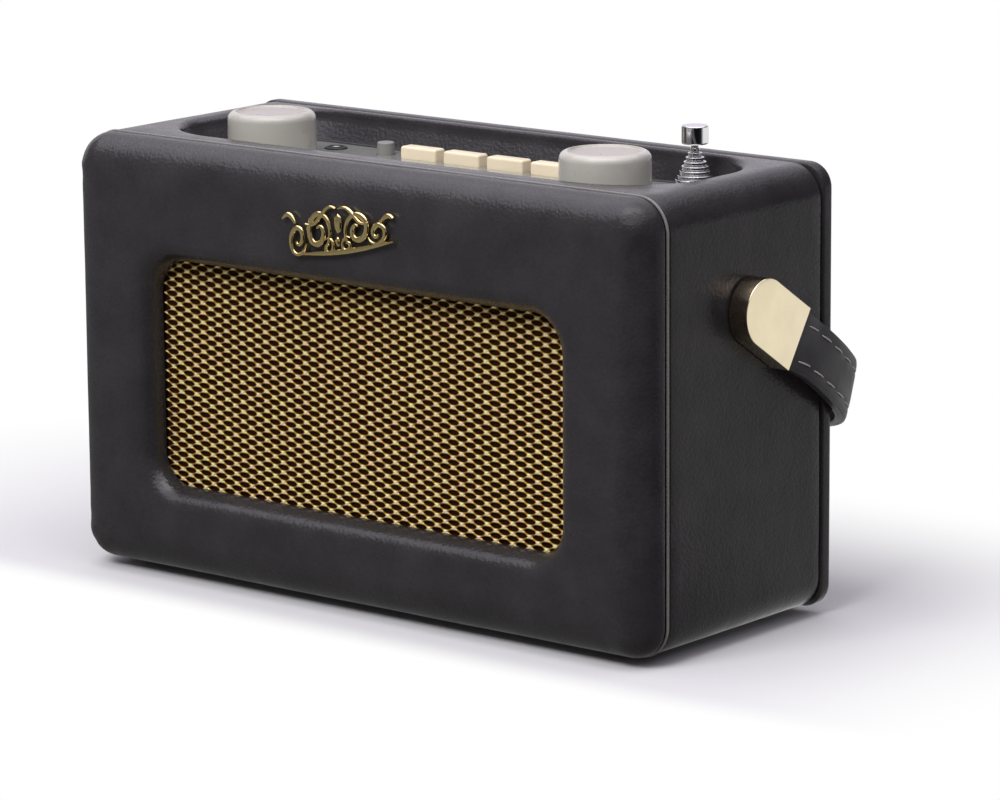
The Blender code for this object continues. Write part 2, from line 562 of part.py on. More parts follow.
def aerial():
    """Seven nested sections, each bead resting on the one below, with a drum-shaped tip on the last."""
    place = (AERIAL_X, AERIAL_Y, 0)
    first_r = AERIAL_BEAD_R - AERIAL_BEAD_OUT
    bore_r = first_r + COLLAR_PLAY
    low, high = TOP_Z + GAP, AERIAL_BEAD_Z - AERIAL_BEAD_H - GAP
    collar = [((bore_r + COLLAR_R) / 2, high), (COLLAR_R, (2 * low + high) / 3), (COLLAR_R, low)]
    collar += [(bore_r, low), (bore_r, high)]
    turned("aerial_collar", collar, 16, CHROME, place, ring=True)
    for k in range(AERIAL_SECTIONS):
        outer = first_r - k * AERIAL_STEP_R
        bead = outer + AERIAL_BEAD_OUT
        top = AERIAL_BEAD_Z + k * AERIAL_STEP_Z
        foot = AERIAL_FOOT_Z + k * AERIAL_FOOT_STEP
        side = [(bead, top), (bead, top - AERIAL_BEAD_H), (outer, top - AERIAL_BEAD_H), (outer, foot)]
        if k < AERIAL_SECTIONS - 1:
            inner = outer - AERIAL_WALL
            profile = side + [(inner, foot), (inner, top)]
        else:
            neck_top = AERIAL_TIP_Z + AERIAL_NECK_IN
            profile = [(0, neck_top), (AERIAL_NECK_R, neck_top), (AERIAL_NECK_R, top)] + side + [(0, foot)]
        turned(f"aerial_section_{k + 1}", profile, 16, CHROME, place, ring=k < AERIAL_SECTIONS - 1)
    low, high = AERIAL_TIP_Z, AERIAL_TIP_Z + AERIAL_TIP_H
    edge, bore_top = AERIAL_TIP_EDGE, low + AERIAL_NECK_IN + GAP
    tip = [(0, high), (AERIAL_TIP_R - edge, high), (AERIAL_TIP_R, high - edge)]
    tip += [(AERIAL_TIP_R, low + edge), (AERIAL_TIP_R - edge, low)]
    tip += [(AERIAL_TIP_BORE, low), (AERIAL_TIP_BORE, bore_top), (0, bore_top)]
    turned("aerial_tip", tip, 24, CHROME, place)


def handle():
    """A U-shaped strap between two D-shaped caps that turn on pins through the cabinet's sides."""
    axis = bpy.data.objects.new("handle_axis", None)
    PARTS.objects.link(axis)
    axis.parent = ORIGIN
    axis.location = (0, PIVOT_Y, PIVOT_Z)
    axis.rotation_euler = (-REST_DROP, 0, 0)
    bend = (STRAP_X - STRAP_BEND_R, STRAP_REACH - STRAP_BEND_R)
    outer = [(STRAP_X, STRAP_START)] + arc(bend, STRAP_BEND_R, 0, 1, 8)
    inner = arc(bend, STRAP_BEND_R - STRAP_T, 1, 0, 8) + [(STRAP_X - STRAP_T, STRAP_START)]
    outer = outer + [(-x, s) for x, s in reversed(outer)]
    inner = [(-x, s) for x, s in reversed(inner)] + inner
    plate("handle_strap", [outer + inner], STRAP_W, STRAP_LEATHER, parent=axis)
    outline = arc((0, 0), CAP_R, 1, 3, 12) + [(CAP_END, -CAP_R), (CAP_END, CAP_R)]
    thickness = CAP_X - CAP_IN_X
    slot_x = STRAP_X - STRAP_T / 2
    for name, side in (("left", -1), ("right", 1)):
        middle = (side * (CAP_X + CAP_IN_X) / 2, 0, 0)
        cap = as_mesh(plate(f"handle_cap_{name}", [outline], thickness, PALE_GOLD, middle, FACE_RIGHT, axis))
        slot_size = (STRAP_T + 2 * GAP, 2 * (CAP_END - STRAP_START + GAP), STRAP_W + GAP)
        slot = block(f"slot_cutter_{name}", slot_size, None, (side * slot_x, CAP_END, 0), parent=axis)
        bore_l = 2 * (PIN_IN + GAP)
        bore = round_cutter(f"bore_cutter_{name}", PIN_R + GAP, bore_l, (side * CAP_IN_X, 0, 0), AXIS_RIGHT)
        bore.parent = axis
        cut(cap, slot, bore)
        end, nut_end = CAP_IN_X + PIN_IN, WIDTH / 2 - WALL - GAP
        pin = [(0, end), (PIN_R, end), (PIN_R, nut_end), (NUT_R, nut_end), (NUT_R, nut_end - NUT_T)]
        pin.append((0, nut_end - NUT_T))
        turn = AXIS_RIGHT if side > 0 else AXIS_LEFT
        turned(f"handle_pivot_{name}", pin, 24, STEEL, (0, PIVOT_Y, PIVOT_Z), turn)


def boards_and_sockets():
    """The receiver's board with its shielded tuner, and the two sockets in the back."""
    block_between("main_board", MAIN_LOW, MAIN_HIGH, CIRCUIT)
    block_between("tuner_module", TUNER_LOW, TUNER_HIGH, STEEL, KEY_EDGE, 1)
    barrel = [(BARREL_R, 0), (BARREL_R, -BARREL_L), (0, -BARREL_L)]
    floor, pin_end = SOCKET_FLOOR - BARREL_L, -SOCKET_FLOOR
    dc = [(0, pin_end), (DC_PIN_R, pin_end), (DC_PIN_R, floor), (DC_BORE_R, floor), (DC_BORE_R, 0)]
    turned("dc_socket", dc + barrel, 20, BLACK, (SOCKET_X, BACK_Y - GAP, DC_Z), FACE_BACK)
    aux = [(0, floor), (AUX_BORE_R, floor), (AUX_BORE_R, 0)]
    turned("aux_socket", aux + barrel, 20, BLACK, (SOCKET_X, BACK_Y - GAP, AUX_Z), FACE_BACK)


def feet():
    for name, x, y in foot_places():
        profile = [(0, FOOT_SINK), (FOOT_R, FOOT_SINK), (FOOT_R, FOOT_EDGE - FOOT_H)]
        profile += [(FOOT_R - FOOT_EDGE, -FOOT_H), (0, -FOOT_H)]
        turned(f"foot_{name}", profile, 20, RUBBER, (x, y, 0))


front_frame()
front_piping()
cabinet_shell()
rear_panel()
rear_screws()
battery_door()
battery_box()
grille()
speaker()
badge()
control_panel()
knob("volume", -1)
knob("tuning", 1)
keys()
aerial()
handle()
boards_and_sockets()
feet()
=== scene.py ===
"""The looks of the leather portable radio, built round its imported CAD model.

Metres, in the CAD model's frame: +Z up, the grille faces -Y, the aerial stands at +X. Sizes and places
come from the boxes of the CAD nodes, and each new piece rides on the body of the node it stands for.
"""

import json
from math import atan2, cos, exp, hypot, pi, radians, sin, tan

import bmesh
import bpy
import numpy as np
from mathutils import Matrix, Quaternion, Vector, noise


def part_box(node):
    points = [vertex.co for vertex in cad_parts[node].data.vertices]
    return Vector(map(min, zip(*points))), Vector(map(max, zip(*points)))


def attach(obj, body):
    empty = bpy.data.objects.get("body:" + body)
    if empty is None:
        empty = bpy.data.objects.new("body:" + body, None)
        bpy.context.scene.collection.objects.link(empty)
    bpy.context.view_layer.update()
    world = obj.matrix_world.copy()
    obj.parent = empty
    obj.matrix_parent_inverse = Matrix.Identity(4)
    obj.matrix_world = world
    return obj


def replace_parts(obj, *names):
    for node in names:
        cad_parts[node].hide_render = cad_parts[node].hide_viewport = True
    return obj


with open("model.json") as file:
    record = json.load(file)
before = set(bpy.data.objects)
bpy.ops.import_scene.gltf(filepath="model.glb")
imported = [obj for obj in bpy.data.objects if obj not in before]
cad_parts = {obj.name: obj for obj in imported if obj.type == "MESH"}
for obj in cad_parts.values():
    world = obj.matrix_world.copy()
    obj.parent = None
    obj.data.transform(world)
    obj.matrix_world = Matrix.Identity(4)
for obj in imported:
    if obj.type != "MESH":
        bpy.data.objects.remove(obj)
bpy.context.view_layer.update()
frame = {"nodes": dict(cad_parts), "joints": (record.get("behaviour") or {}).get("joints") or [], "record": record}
NODES = frame["nodes"]
BODY_OF = {node: body for body, nodes in frame["record"]["behaviour"]["bodies"].items() for node in nodes}
SLOT_OF = {part["node"]: part["material_slot"] for part in frame["record"]["subparts"]}
JOINTS = {joint["name"]: joint for joint in frame["joints"]}

MM = 0.001

# The cabinet, from the boxes of its CAD nodes
FRONT_LOW, FRONT_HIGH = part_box("front_frame")
SHELL_LOW, SHELL_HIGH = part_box("cabinet_shell")
REAR_LOW, REAR_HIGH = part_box("rear_panel")
PANEL_LOW, PANEL_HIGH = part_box("control_panel")
MESH_LOW, MESH_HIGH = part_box("grille_mesh")
WIDTH, HEIGHT = SHELL_HIGH.x - SHELL_LOW.x, SHELL_HIGH.z - SHELL_LOW.z
MID_Z = (SHELL_LOW.z + SHELL_HIGH.z) / 2
CORNER_R = 9.7 * MM
WALL = 9.4 * MM

# The front frame and its window
FRONT_ROUND, FRONT_CORNER_R = 12.5 * MM, 4.0 * MM
WINDOW_W, WINDOW_H = MESH_HIGH.x - MESH_LOW.x - 6 * MM, MESH_HIGH.z - MESH_LOW.z - 6 * MM
WINDOW_Z = (MESH_LOW.z + MESH_HIGH.z) / 2
MESH_X = (MESH_LOW.x + MESH_HIGH.x) / 2
CELL_W, CELL_H = 6.0 * MM, 2.86 * MM
WINDOW_R, WINDOW_ROLL, WINDOW_DEPTH = 10 * MM, 6.8 * MM, 8 * MM
REBATE = 4 * MM
SEAM_ROUND, BACK_EDGE = 0.6 * MM, 1.0 * MM

# The control well: sloping walls up to a rim that rolls over more widely at its two ends
WELL_GAP = 0.3 * MM
WELL_R = 20 * MM
WELL_SLOPE = 2.7 * MM
RIM_END, RIM_SIDE, RIM_DROP = 3.6 * MM, 1.2 * MM, 2.2 * MM
LIP_IN, LIP_UP = 1.9 * MM, 0.15 * MM
LIP_CLEAR, LIP_FADE = 12 * MM, 14 * MM

# Leather relief
SWELL, SWELL_SIZE = 0.10 * MM, 30 * MM
RIPPLE, RIPPLE_SIZE = 0.035 * MM, 7 * MM
PUCKER, PUCKERS = 0.16 * MM, 7

# The studio. Ways are unit vectors that lie level, and lights are strengths of white.
# The floor whitens over these metres from the cabinet, each side's distances scaled by its own factor.
FLOOR_WHITE = (0.02, 0.13)
FLOOR_EASE = {"left": 0.75, "right": 1.35, "front": 6.0, "back": 1.0}
DARK_WAY, BRIGHT_WAY, BACKDROP_WAY = (0.873, -0.451, 0), (0.63, 0.777, 0), (-0.63, 0.777, 0)
CEILING_FROM, CEILING_TO = radians(26), radians(38)
GLOSS_FROM, GLOSS_TO, GLOSS_LIGHT = radians(37), radians(45), 1.75
WALL_LIGHT, CEILING_LIGHT, BACKDROP_LIGHT = 0.16, 0.95, 0.85
# Of the floor, gloss sees MIRRORED, and MIRRORED_BRIGHT more to one side, less a share of up to DARKEST.
MIRRORED, MIRRORED_BRIGHT, DARKEST = 0.20, 0.66, 0.97
BOUNCED, STUDIO_TINT = (0.40, 0.37, 0.34), (0.96, 0.91, 1.0)


# ---------------------------------------------------------------- shapes

def arc(centre, radius, start, end, steps):
    """Points along an arc, its angles in quarter turns."""
    angles = [(start + (end - start) * i / steps) * pi / 2 for i in range(steps + 1)]
    return [(centre[0] + radius * cos(a), centre[1] + radius * sin(a)) for a in angles]


def outline(width, height, radius, centre=(0, 0), corner=10, across=8, up=8):
    """A rounded rectangle, counter-clockwise from its right side's upper end, its straights divided."""
    half_w, half_h = width / 2 - radius, height / 2 - radius
    ways = ((-2 * half_w, 0), (0, -2 * half_h), (2 * half_w, 0), (0, 2 * half_h))
    points = []
    for turn, (side_x, side_y) in enumerate(((1, 1), (-1, 1), (-1, -1), (1, -1))):
        middle = (centre[0] + side_x * half_w, centre[1] + side_y * half_h)
        points += arc(middle, radius, turn, turn + 1, corner)
        x, y = points[-1]
        steps = up if turn % 2 else across
        points += [(x + ways[turn][0] * i / steps, y + ways[turn][1] * i / steps) for i in range(1, steps)]
    return np.array(points)


def circle(steps):
    """The cosine and sine of evenly spaced angles over a full turn."""
    angles = [2 * pi * i / steps for i in range(steps)]
    return [(cos(angle), sin(angle)) for angle in angles]


def rounding(width, steps, height=None):
    """(width left, height gained) along a rounded edge, from where it starts to where it is flat on."""
    angles = [i / steps * pi / 2 for i in range(steps + 1)]
    return [(width * (1 - sin(angle)), (height or width) * (1 - cos(angle))) for angle in angles]


def upright(ring, y):
    """A ring of (x, z) points at this y."""
    return np.column_stack((ring[:, 0], np.full(len(ring), y), ring[:, 1]))


def level(ring, z):
    """A ring of (x, y) points at this z."""
    return np.column_stack((ring, np.full(len(ring), z)))


def mix(first, second, share):
    return first + (second - first) * share


def measure(node):
    """The corners of a CAD node's box, its middle and half its width."""
    low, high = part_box(node)
    return low, high, (low + high) / 2, (high.x - low.x) / 2


def filleted(corners, steps=5):
    """(r, z) or (r, z, fillet radius) corners as points, each fillet an arc of this many steps."""
    points = []
    for i, (r, z, *radius) in enumerate(corners):
        here = Vector((r, z))
        if not radius:
            points.append((r, z))
            continue
        radius = radius[0]
        back = (Vector(corners[i - 1][:2]) - here).normalized()
        on = (Vector(corners[i + 1][:2]) - here).normalized()
        half = back.angle(on) / 2
        centre = here + (back + on).normalized() * radius / sin(half)
        first = here + back * radius / tan(half) - centre
        last = here + on * radius / tan(half) - centre
        start = atan2(first.y, first.x)
        turn = (atan2(last.y, last.x) - start + pi) % (2 * pi) - pi
        for k in range(steps + 1):
            angle = start + turn * k / steps
            points.append((centre.x + radius * cos(angle), centre.y + radius * sin(angle)))
    return points


def held(profile, margin=0.02 * MM):
    """The profile with a point close to each end of its long runs, which shades them flat."""
    points = []
    for (r0, z0), (r1, z1) in zip(profile, profile[1:]):
        length = hypot(r1 - r0, z1 - z0)
        shares = (0, margin / length, 1 - margin / length) if length > 8 * margin else (0,)
        points += [(mix(r0, r1, share), mix(z0, z1, share)) for share in shares]
    return points + [profile[-1]]


def path_frames(path):
    """The path's points, and at each of them the unit vector to the right of the way along it."""
    path = np.array(path)
    along = np.gradient(path, axis=0)
    along /= np.linalg.norm(along, axis=1)[:, None]
    return path, np.column_stack((along[:, 1], -along[:, 0]))


class Skin:
    """Rows of points joined by quads. Points that meet are welded when the skin becomes a mesh."""

    def __init__(self):
        self.points, self.faces = [], []

    def strip(self, rows, closed=True):
        start, count = len(self.points), len(rows[0])
        for row in rows:
            self.points += [tuple(point) for point in row]
        for low in range(start, len(self.points) - count, count):
            for i in range(count if closed else count - 1):
                j = (i + 1) % count
                self.faces.append((low + i, low + j, low + j + count, low + i + count))
        return self

    def cap(self, row):
        start = len(self.points)
        self.points += [tuple(point) for point in row]
        self.faces.append(tuple(range(start, start + len(row))))
        return self

    def tube(self, rows):
        """A strip with both of its ends capped."""
        return self.strip(rows).cap(rows[0]).cap(rows[-1])

    def mesh(self, name, weld=1e-7):
        made = bpy.data.meshes.new(name)
        made.from_pydata(self.points, [], self.faces)
        shape = bmesh.new()
        shape.from_mesh(made)
        bmesh.ops.remove_doubles(shape, verts=shape.verts, dist=weld)
        bmesh.ops.recalc_face_normals(shape, faces=shape.faces)
        shape.to_mesh(made)
        shape.free()
        return made


def linked(name, data):
    """A new object in the scene."""
    made = bpy.data.objects.new(name, data)
    bpy.context.scene.collection.objects.link(made)
    return made


def applied(thing):
    """The mesh of an object with its modifiers applied. The object is removed."""
    made = bpy.data.meshes.new_from_object(thing.evaluated_get(bpy.context.evaluated_depsgraph_get()))
    bpy.data.objects.remove(thing, do_unlink=True)
    return made


def place(name, data, material, body, sharp=40):
    """Links a mesh or its Skin as a smooth-shaded piece that rides on this body."""
    if isinstance(data, Skin):
        data = data.mesh(name)
    data.shade_smooth()
    data.set_sharp_from_angle(angle=radians(sharp))
    data.materials.clear()
    data.materials.append(material)
    made = linked(name, data)
    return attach(made, body)


def stand_for(name, data, node, *more, material=None, sharp=40):
    """A piece that replaces this CAD node, on its body and in its material slot."""
    slot = SLOT_OF[node]
    made = place(name, data, material or FINISH[slot], BODY_OF[node], sharp)
    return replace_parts(made, node, *more)


def turned(profile, steps, centre, facing=None):
    """A profile of (r, z) points turned about the way it faces, or about Z from the frame's floor."""
    turn = facing.to_track_quat("Z", "Y").to_matrix() if facing else Matrix.Identity(3)
    centre = Vector(centre) if facing else Vector((*centre[:2], 0))
    rows = [[centre + turn @ Vector((r * a, r * b, z)) for a, b in circle(steps)] for r, z in profile]
    return Skin().strip(rows)


def lathed(name, node, corners, steps, arcs=5):
    """Turns filleted corners about the vertical, in place of this CAD node."""
    return stand_for(name, turned(filleted(corners, arcs), steps, measure(node)[2]), node)


def cut(mesh, name, *cutters):
    """This mesh less each cutter, a Skin."""
    body = linked(name, mesh)
    helpers = []
    for number, cutter in enumerate(cutters):
        helpers.append(linked(f"{name}_cutter_{number}", cutter.mesh("cutter")))
        boolean = body.modifiers.new("Cut", "BOOLEAN")
        boolean.operation = "DIFFERENCE"
        boolean.solver = "EXACT"
        boolean.object = helpers[-1]
    made = applied(body)
    for helper in helpers:
        bpy.data.objects.remove(helper, do_unlink=True)
    return made


def block(low, high, round_by=0.0, steps=3):
    """A box between two corners, its edges rounded by stacked outlines."""
    size = Vector(high) - Vector(low)
    centre = ((low[0] + high[0]) / 2, (low[1] + high[1]) / 2)
    rows = []
    for end, sign in ((low[2], 1), (high[2], -1)):
        for inset, lift in rounding(round_by, steps)[::sign]:
            ring = outline(size.x - 2 * inset, size.y - 2 * inset, max(round_by, 1e-5), centre, steps, 2, 2)
            rows.append(level(ring, end + sign * lift))
    return Skin().tube(rows)


# ---------------------------------------------------------------- materials

class Nodes:
    """The nodes of a new material or world, with the few kinds that the finishes here are made of."""

    def __init__(self, name, world=False):
        self.owner = (bpy.data.worlds if world else bpy.data.materials).new(name)
        self.owner.use_nodes = True
        self.tree = self.owner.node_tree
        self.shader = self.tree.nodes["Background" if world else "Principled BSDF"]
        self.surface = self.tree.nodes["World Output" if world else "Material Output"].inputs["Surface"]
        self.place = self.add("ShaderNodeTexCoord").outputs["Generated" if world else "Object"]

    def add(self, kind, links=None, **settings):
        node = self.tree.nodes.new(kind)
        for key, value in settings.items():
            setattr(node, key, value)
        for key, value in (links or {}).items():
            self.feed(node.inputs[key], value)
        return node

    def feed(self, socket, value):
        if isinstance(value, bpy.types.NodeSocket):
            self.tree.links.new(value, socket)
        else:
            socket.default_value = value

    def noise(self, size, detail=3.0, where=None, stretch=None):
        """Cloudy noise from about 0.3 to 0.7, with patches of this size in metres."""
        where = where or self.place
        if stretch:
            where = self.add("ShaderNodeMapping", {"Vector": where, "Scale": stretch}).outputs["Vector"]
        links = {"Vector": where, "Scale": 1 / size, "Detail": detail}
        return self.add("ShaderNodeTexNoise", links).outputs["Fac"]

    def spread(self, value, low, high, start=0.3, end=0.7, kind="LINEAR"):
        """The value's range from start to end, stretched over low to high and held beyond it."""
        links = {"Value": value, "From Min": start, "From Max": end, "To Min": low, "To Max": high}
        return self.add("ShaderNodeMapRange", links, interpolation_type=kind).outputs["Result"]

    def colours(self, value, *stops):
        """A ramp through (place, colour) stops."""
        ramp = self.add("ShaderNodeValToRGB", {"Fac": value})
        elements = ramp.color_ramp.elements
        while len(elements) < len(stops):
            elements.new(1)
        for element, (where, colour) in zip(elements, stops):
            element.position = where
            element.color = (*colour, 1)
        return ramp.outputs["Color"]

    def maths(self, operation, *values):
        return self.add("ShaderNodeMath", dict(enumerate(values)), operation=operation).outputs["Value"]

    def vector(self, operation, *values):
        outputs = self.add("ShaderNodeVectorMath", dict(enumerate(values)), operation=operation).outputs
        return outputs["Value" if operation in ("LENGTH", "DOT_PRODUCT") else "Vector"]

    def axes(self):
        """The place's X, Y and Z."""
        return self.add("ShaderNodeSeparateXYZ", {0: self.place}).outputs

    def glow(self, strength):
        """White light of this strength, whatever falls on the surface."""
        return self.add("ShaderNodeEmission", {"Color": (1, 1, 1, 1), "Strength": strength}).outputs[0]

    def blend(self, share, first, second):
        """The first shader where share is 0, the second where it is 1."""
        return self.add("ShaderNodeMixShader", {0: share, 1: first, 2: second}).outputs[0]

    def bump(self, height, depth, strength=1.0):
        """Relief of this depth in metres."""
        links = {"Height": height, "Distance": depth, "Strength": strength}
        if self.shader.inputs["Normal"].links:
            links["Normal"] = self.shader.inputs["Normal"].links[0].from_socket
        self.feed(self.shader.inputs["Normal"], self.add("ShaderNodeBump", links).outputs["Normal"])

    def finish(self, **sockets):
        """Sets the shader's sockets, by name with _ for a space."""
        for key, value in sockets.items():
            self.feed(self.shader.inputs[key.replace("_", " ")], value)
        return self.owner


def shade(colour, factor):
    return tuple(min(1, c * factor) for c in colour)


def leather(name, colour, grain=0.9 * MM, depth=0.05 * MM, rough=(0.20, 0.30), shine=0.5):
    """Pebbled grain with creases, soft mottling and faint wrinkles. The creases are darkened as painted shade, and
    the cabinet's two sides are duller, a lower sheen that is painted shade.
    """
    n = Nodes(name)
    bend = n.add("ShaderNodeTexNoise", {"Vector": n.place, "Scale": 1 / (4 * grain), "Detail": 2.0})
    shift = n.vector("MULTIPLY", bend.outputs["Color"], (grain, grain, grain))
    warped = n.vector("ADD", n.place, shift)
    pebbles = n.add("ShaderNodeTexVoronoi", {"Vector": warped, "Scale": 1 / grain, "Randomness": 0.9},
                    feature="SMOOTH_F1").outputs["Distance"]
    fine = n.add("ShaderNodeTexVoronoi", {"Vector": warped, "Scale": 2.3 / grain}).outputs["Distance"]
    crease_relief_and_shade = n.spread(pebbles, 1.0, 0.0, 0.15, 0.75)
    patches = n.noise(14 * MM, 4.0)
    # Painted shade: the colour is darker down in the creases between the pebbles, on top of the random mottling.
    tone = n.maths("ADD", n.spread(patches, 0.0, 0.7), n.maths("MULTIPLY", crease_relief_and_shade, 0.3))
    base = n.colours(tone, (0.0, shade(colour, 0.72)), (0.55, colour), (1.0, shade(colour, 1.3)))
    pulled = n.noise(5 * MM, 3.0, stretch=(1.0, 1.0, 0.35))
    n.bump(pulled, 0.14 * MM, 0.6)
    n.bump(crease_relief_and_shade, depth)
    n.bump(fine, depth * 0.35)
    roughness = n.spread(n.noise(6 * MM, 5.0), *rough)
    aside = n.maths("ABSOLUTE", n.axes()["X"])
    # Painted shade: the leather has less sheen towards the cabinet's two sides, and the strap's, which darkens
    # them.
    side_sheen_shade = n.spread(aside, shine, shine * 0.3, WIDTH / 2 - CORNER_R, WIDTH / 2 - 2 * MM)
    return n.finish(Base_Color=base, Roughness=roughness, Specular_IOR_Level=side_sheen_shade)


def moulded(name, colour, rough=(0.34, 0.46), grain=0.5 * MM, depth=0.006 * MM, coat=0.0):
    """Moulded plastic: a fine even texture, a slight drift of tone and a few handling marks."""
    n = Nodes(name)
    drift = n.noise(18 * MM, 3.0)
    base = n.colours(drift, (0.3, shade(colour, 0.93)), (0.7, shade(colour, 1.06)))
    n.bump(n.noise(grain, 2.0), depth)
    rough = n.spread(n.noise(4 * MM, 5.0), *rough)
    return n.finish(Base_Color=base, Roughness=rough, Coat_Weight=coat, Coat_Roughness=0.12)


def metal(name, colour, rough=(0.05, 0.10), ripple=0.004 * MM, brushed=None):
    """Plated metal: faint ripple, smudges in its polish, and brush lines where it has them."""
    n = Nodes(name)
    smudge = n.noise(9 * MM, 4.0)
    base = n.colours(smudge, (0.3, shade(colour, 0.94)), (0.7, shade(colour, 1.03)))
    n.bump(n.noise(3 * MM, 2.0), ripple)
    if brushed:
        n.bump(n.noise(0.4 * MM, 2.0, stretch=brushed), 0.01 * MM)
    return n.finish(Base_Color=base, Metallic=1.0, Roughness=n.spread(n.noise(5 * MM, 5.0), *rough))


def mesh_gold(name):
    """Gold plate with a painted highlight on the mesh's knots, faintly tinted there, and painted shade in brown on
    the strands between them.
    """
    n = Nodes(name)
    axes = n.axes()
    waves = []
    for axis, middle, size in (("X", MESH_X, CELL_W), ("Z", WINDOW_Z, CELL_H)):
        turns = n.maths("MULTIPLY", n.maths("SUBTRACT", axes[axis], middle), 2 * pi / size)
        waves.append(n.maths("COSINE", turns))
    knot_highlight_mask = n.spread(n.maths("MULTIPLY", *waves), 1.0, 0.0, -1.0, 1.0)
    tint = n.noise(4 * MM, 3.0)
    pink, gold, green = (1.0, 0.78, 0.48), (1.0, 0.85, 0.47), (1.0, 0.93, 0.46)
    brown, ochre = (0.27, 0.13, 0.014), (0.38, 0.21, 0.026)
    # Painted highlight on the knots and painted shade on the strands between them: the plate is one gold, and this
    # split in colour stands in for how the knots catch the light.
    bright = n.colours(tint, (0.35, pink), (0.5, gold), (0.65, green))
    painted_strand_shade = n.colours(n.noise(2.2 * MM, 3.0), (0.35, brown), (0.65, ochre))
    share = n.spread(knot_highlight_mask, 0.0, 1.0, 0.56, 0.88)
    base = n.add("ShaderNodeMix", {"Factor": share, 6: painted_strand_shade, 7: bright}, data_type="RGBA").outputs[2]
    n.bump(n.noise(0.7 * MM, 3.0), 0.02 * MM)
    rough = n.spread(n.noise(1.5 * MM, 3.0), 0.24, 0.36)
    return n.finish(Base_Color=base, Metallic=0.5, Roughness=rough, Specular_IOR_Level=0.0)


def woven(name, colour, pitch=0.7 * MM):
    """An open plain weave seen from the front."""
    n = Nodes(name)
    axes = n.axes()
    waves = [n.maths("SINE", n.maths("MULTIPLY", axes[axis], 2 * pi / pitch)) for axis in "XZ"]
    weave = n.maths("MULTIPLY", *waves)
    raised = n.spread(weave, 0.0, 1.0, -1.0, 1.0)
    base = n.colours(raised, (0.0, shade(colour, 0.3)), (1.0, shade(colour, 1.5)))
    n.bump(weave, 0.08 * MM)
    return n.finish(Base_Color=base, Roughness=0.92, Specular_IOR_Level=0.15)


def fibrous(name, colour, size=0.8 * MM, contrast=0.25):
    """Pressed fibre, as in board, felt and speaker paper."""
    n = Nodes(name)
    fibres = n.noise(size, 6.0, stretch=(1.0, 1.0, 3.0))
    base = n.colours(fibres, (0.3, shade(colour, 1 - contrast)), (0.7, shade(colour, 1 + contrast)))
    n.bump(fibres, 0.05 * MM)
    return n.finish(Base_Color=base, Roughness=n.spread(fibres, 0.75, 0.9))


def circuit_board(name, colour):
    """Solder mask over square-cornered tracks."""
    n = Nodes(name)
    tracks = n.add("ShaderNodeTexVoronoi", {"Vector": n.place, "Scale": 260.0}, distance="CHEBYCHEV",
                   feature="DISTANCE_TO_EDGE").outputs["Distance"]
    line = n.spread(tracks, 1.0, 0.0, 0.04, 0.09)
    base = n.colours(line, (0.0, colour), (1.0, shade(colour, 1.9)))
    n.bump(line, 0.03 * MM)
    return n.finish(Base_Color=base, Roughness=0.34, Coat_Weight=0.3)


def polished_panel(name):
    """The dark, brass-tinted control panel under its clear polished face."""
    n = Nodes(name)
    tone = n.noise(30 * MM, 2.0)
    base = n.colours(tone, (0.3, (0.33, 0.35, 0.31)), (0.7, (0.38, 0.40, 0.36)))
    n.bump(n.noise(8 * MM, 2.0), 0.01 * MM)
    rough = n.spread(n.noise(4 * MM, 5.0), 0.10, 0.17)
    return n.finish(Base_Color=base, Metallic=0.5, Roughness=rough, Coat_Weight=0.5, Coat_Roughness=0.06)


def thread(name, colour):
    """Twisted sewing thread: fine slanting ply lines."""
    n = Nodes(name)
    ply = n.add("ShaderNodeTexWave", {"Vector": n.place, "Scale": 900.0, "Distortion": 0.6},
                bands_direction="DIAGONAL").outputs["Fac"]
    base = n.colours(ply, (0.0, shade(colour, 0.55)), (1.0, colour))
    n.bump(ply, 0.05 * MM)
    return n.finish(Base_Color=base, Roughness=0.7)


FINISH = {
    "leather": leather("charcoal_leather", (0.0250, 0.0235, 0.0260)),
    "strap_leather": leather("strap_leather", (0.0240, 0.0225, 0.0255), 0.6 * MM, 0.025 * MM,
                             (0.34, 0.46), 0.6),
    "piping": moulded("piping", (0.17, 0.163, 0.16), (0.2, 0.3), 0.8 * MM, 0.01 * MM),
    "gold": metal("badge_gold", (1.0, 0.80, 0.38), (0.06, 0.12), 0.02 * MM),
    "pale_gold": metal("cap_gold", (0.92, 0.80, 0.56), (0.10, 0.13)),
    "chrome": metal("chrome", (0.86, 0.87, 0.88), (0.03, 0.07)),
    "steel": metal("steel", (0.50, 0.50, 0.52), (0.26, 0.38), brushed=(1.0, 1.0, 6.0)),
    "cream": moulded("cream_plastic", (0.74, 0.64, 0.47), (0.30, 0.42)),
    "stone": moulded("stone_plastic", (0.43, 0.415, 0.375), (0.27, 0.29), 6 * MM, 0.002 * MM, coat=0.6),
    # Painted shade: the knob plastic made darker for the knobs' dished tops.
    "painted_shade_disc": moulded("knob_disc_painted_shade", (0.35, 0.315, 0.285), (0.27, 0.31), 6 * MM, 0.002 * MM, coat=0.3),
    "grey": moulded("grey_plastic", (0.20, 0.195, 0.19)),
    "black": moulded("black_plastic", (0.016, 0.016, 0.017), (0.36, 0.5)),
    "panel": polished_panel("tinted_panel"),
    "cloth": woven("speaker_cloth", (0.026, 0.010, 0.003)),
    "paper": fibrous("cone_paper", (0.022, 0.021, 0.020)),
    "board": fibrous("fibre_board", (0.33, 0.22, 0.13), 1.5 * MM),
    "circuit": circuit_board("circuit_board", (0.02, 0.15, 0.06)),
    "display": moulded("display_glass", (0.008, 0.010, 0.012), (0.04, 0.09), coat=0.4),
    "rubber": moulded("rubber", (0.022, 0.022, 0.022), (0.7, 0.85), 0.4 * MM, 0.02 * MM),
    "cell": moulded("cell_sleeve", (0.05, 0.15, 0.36), (0.25, 0.35)),
}
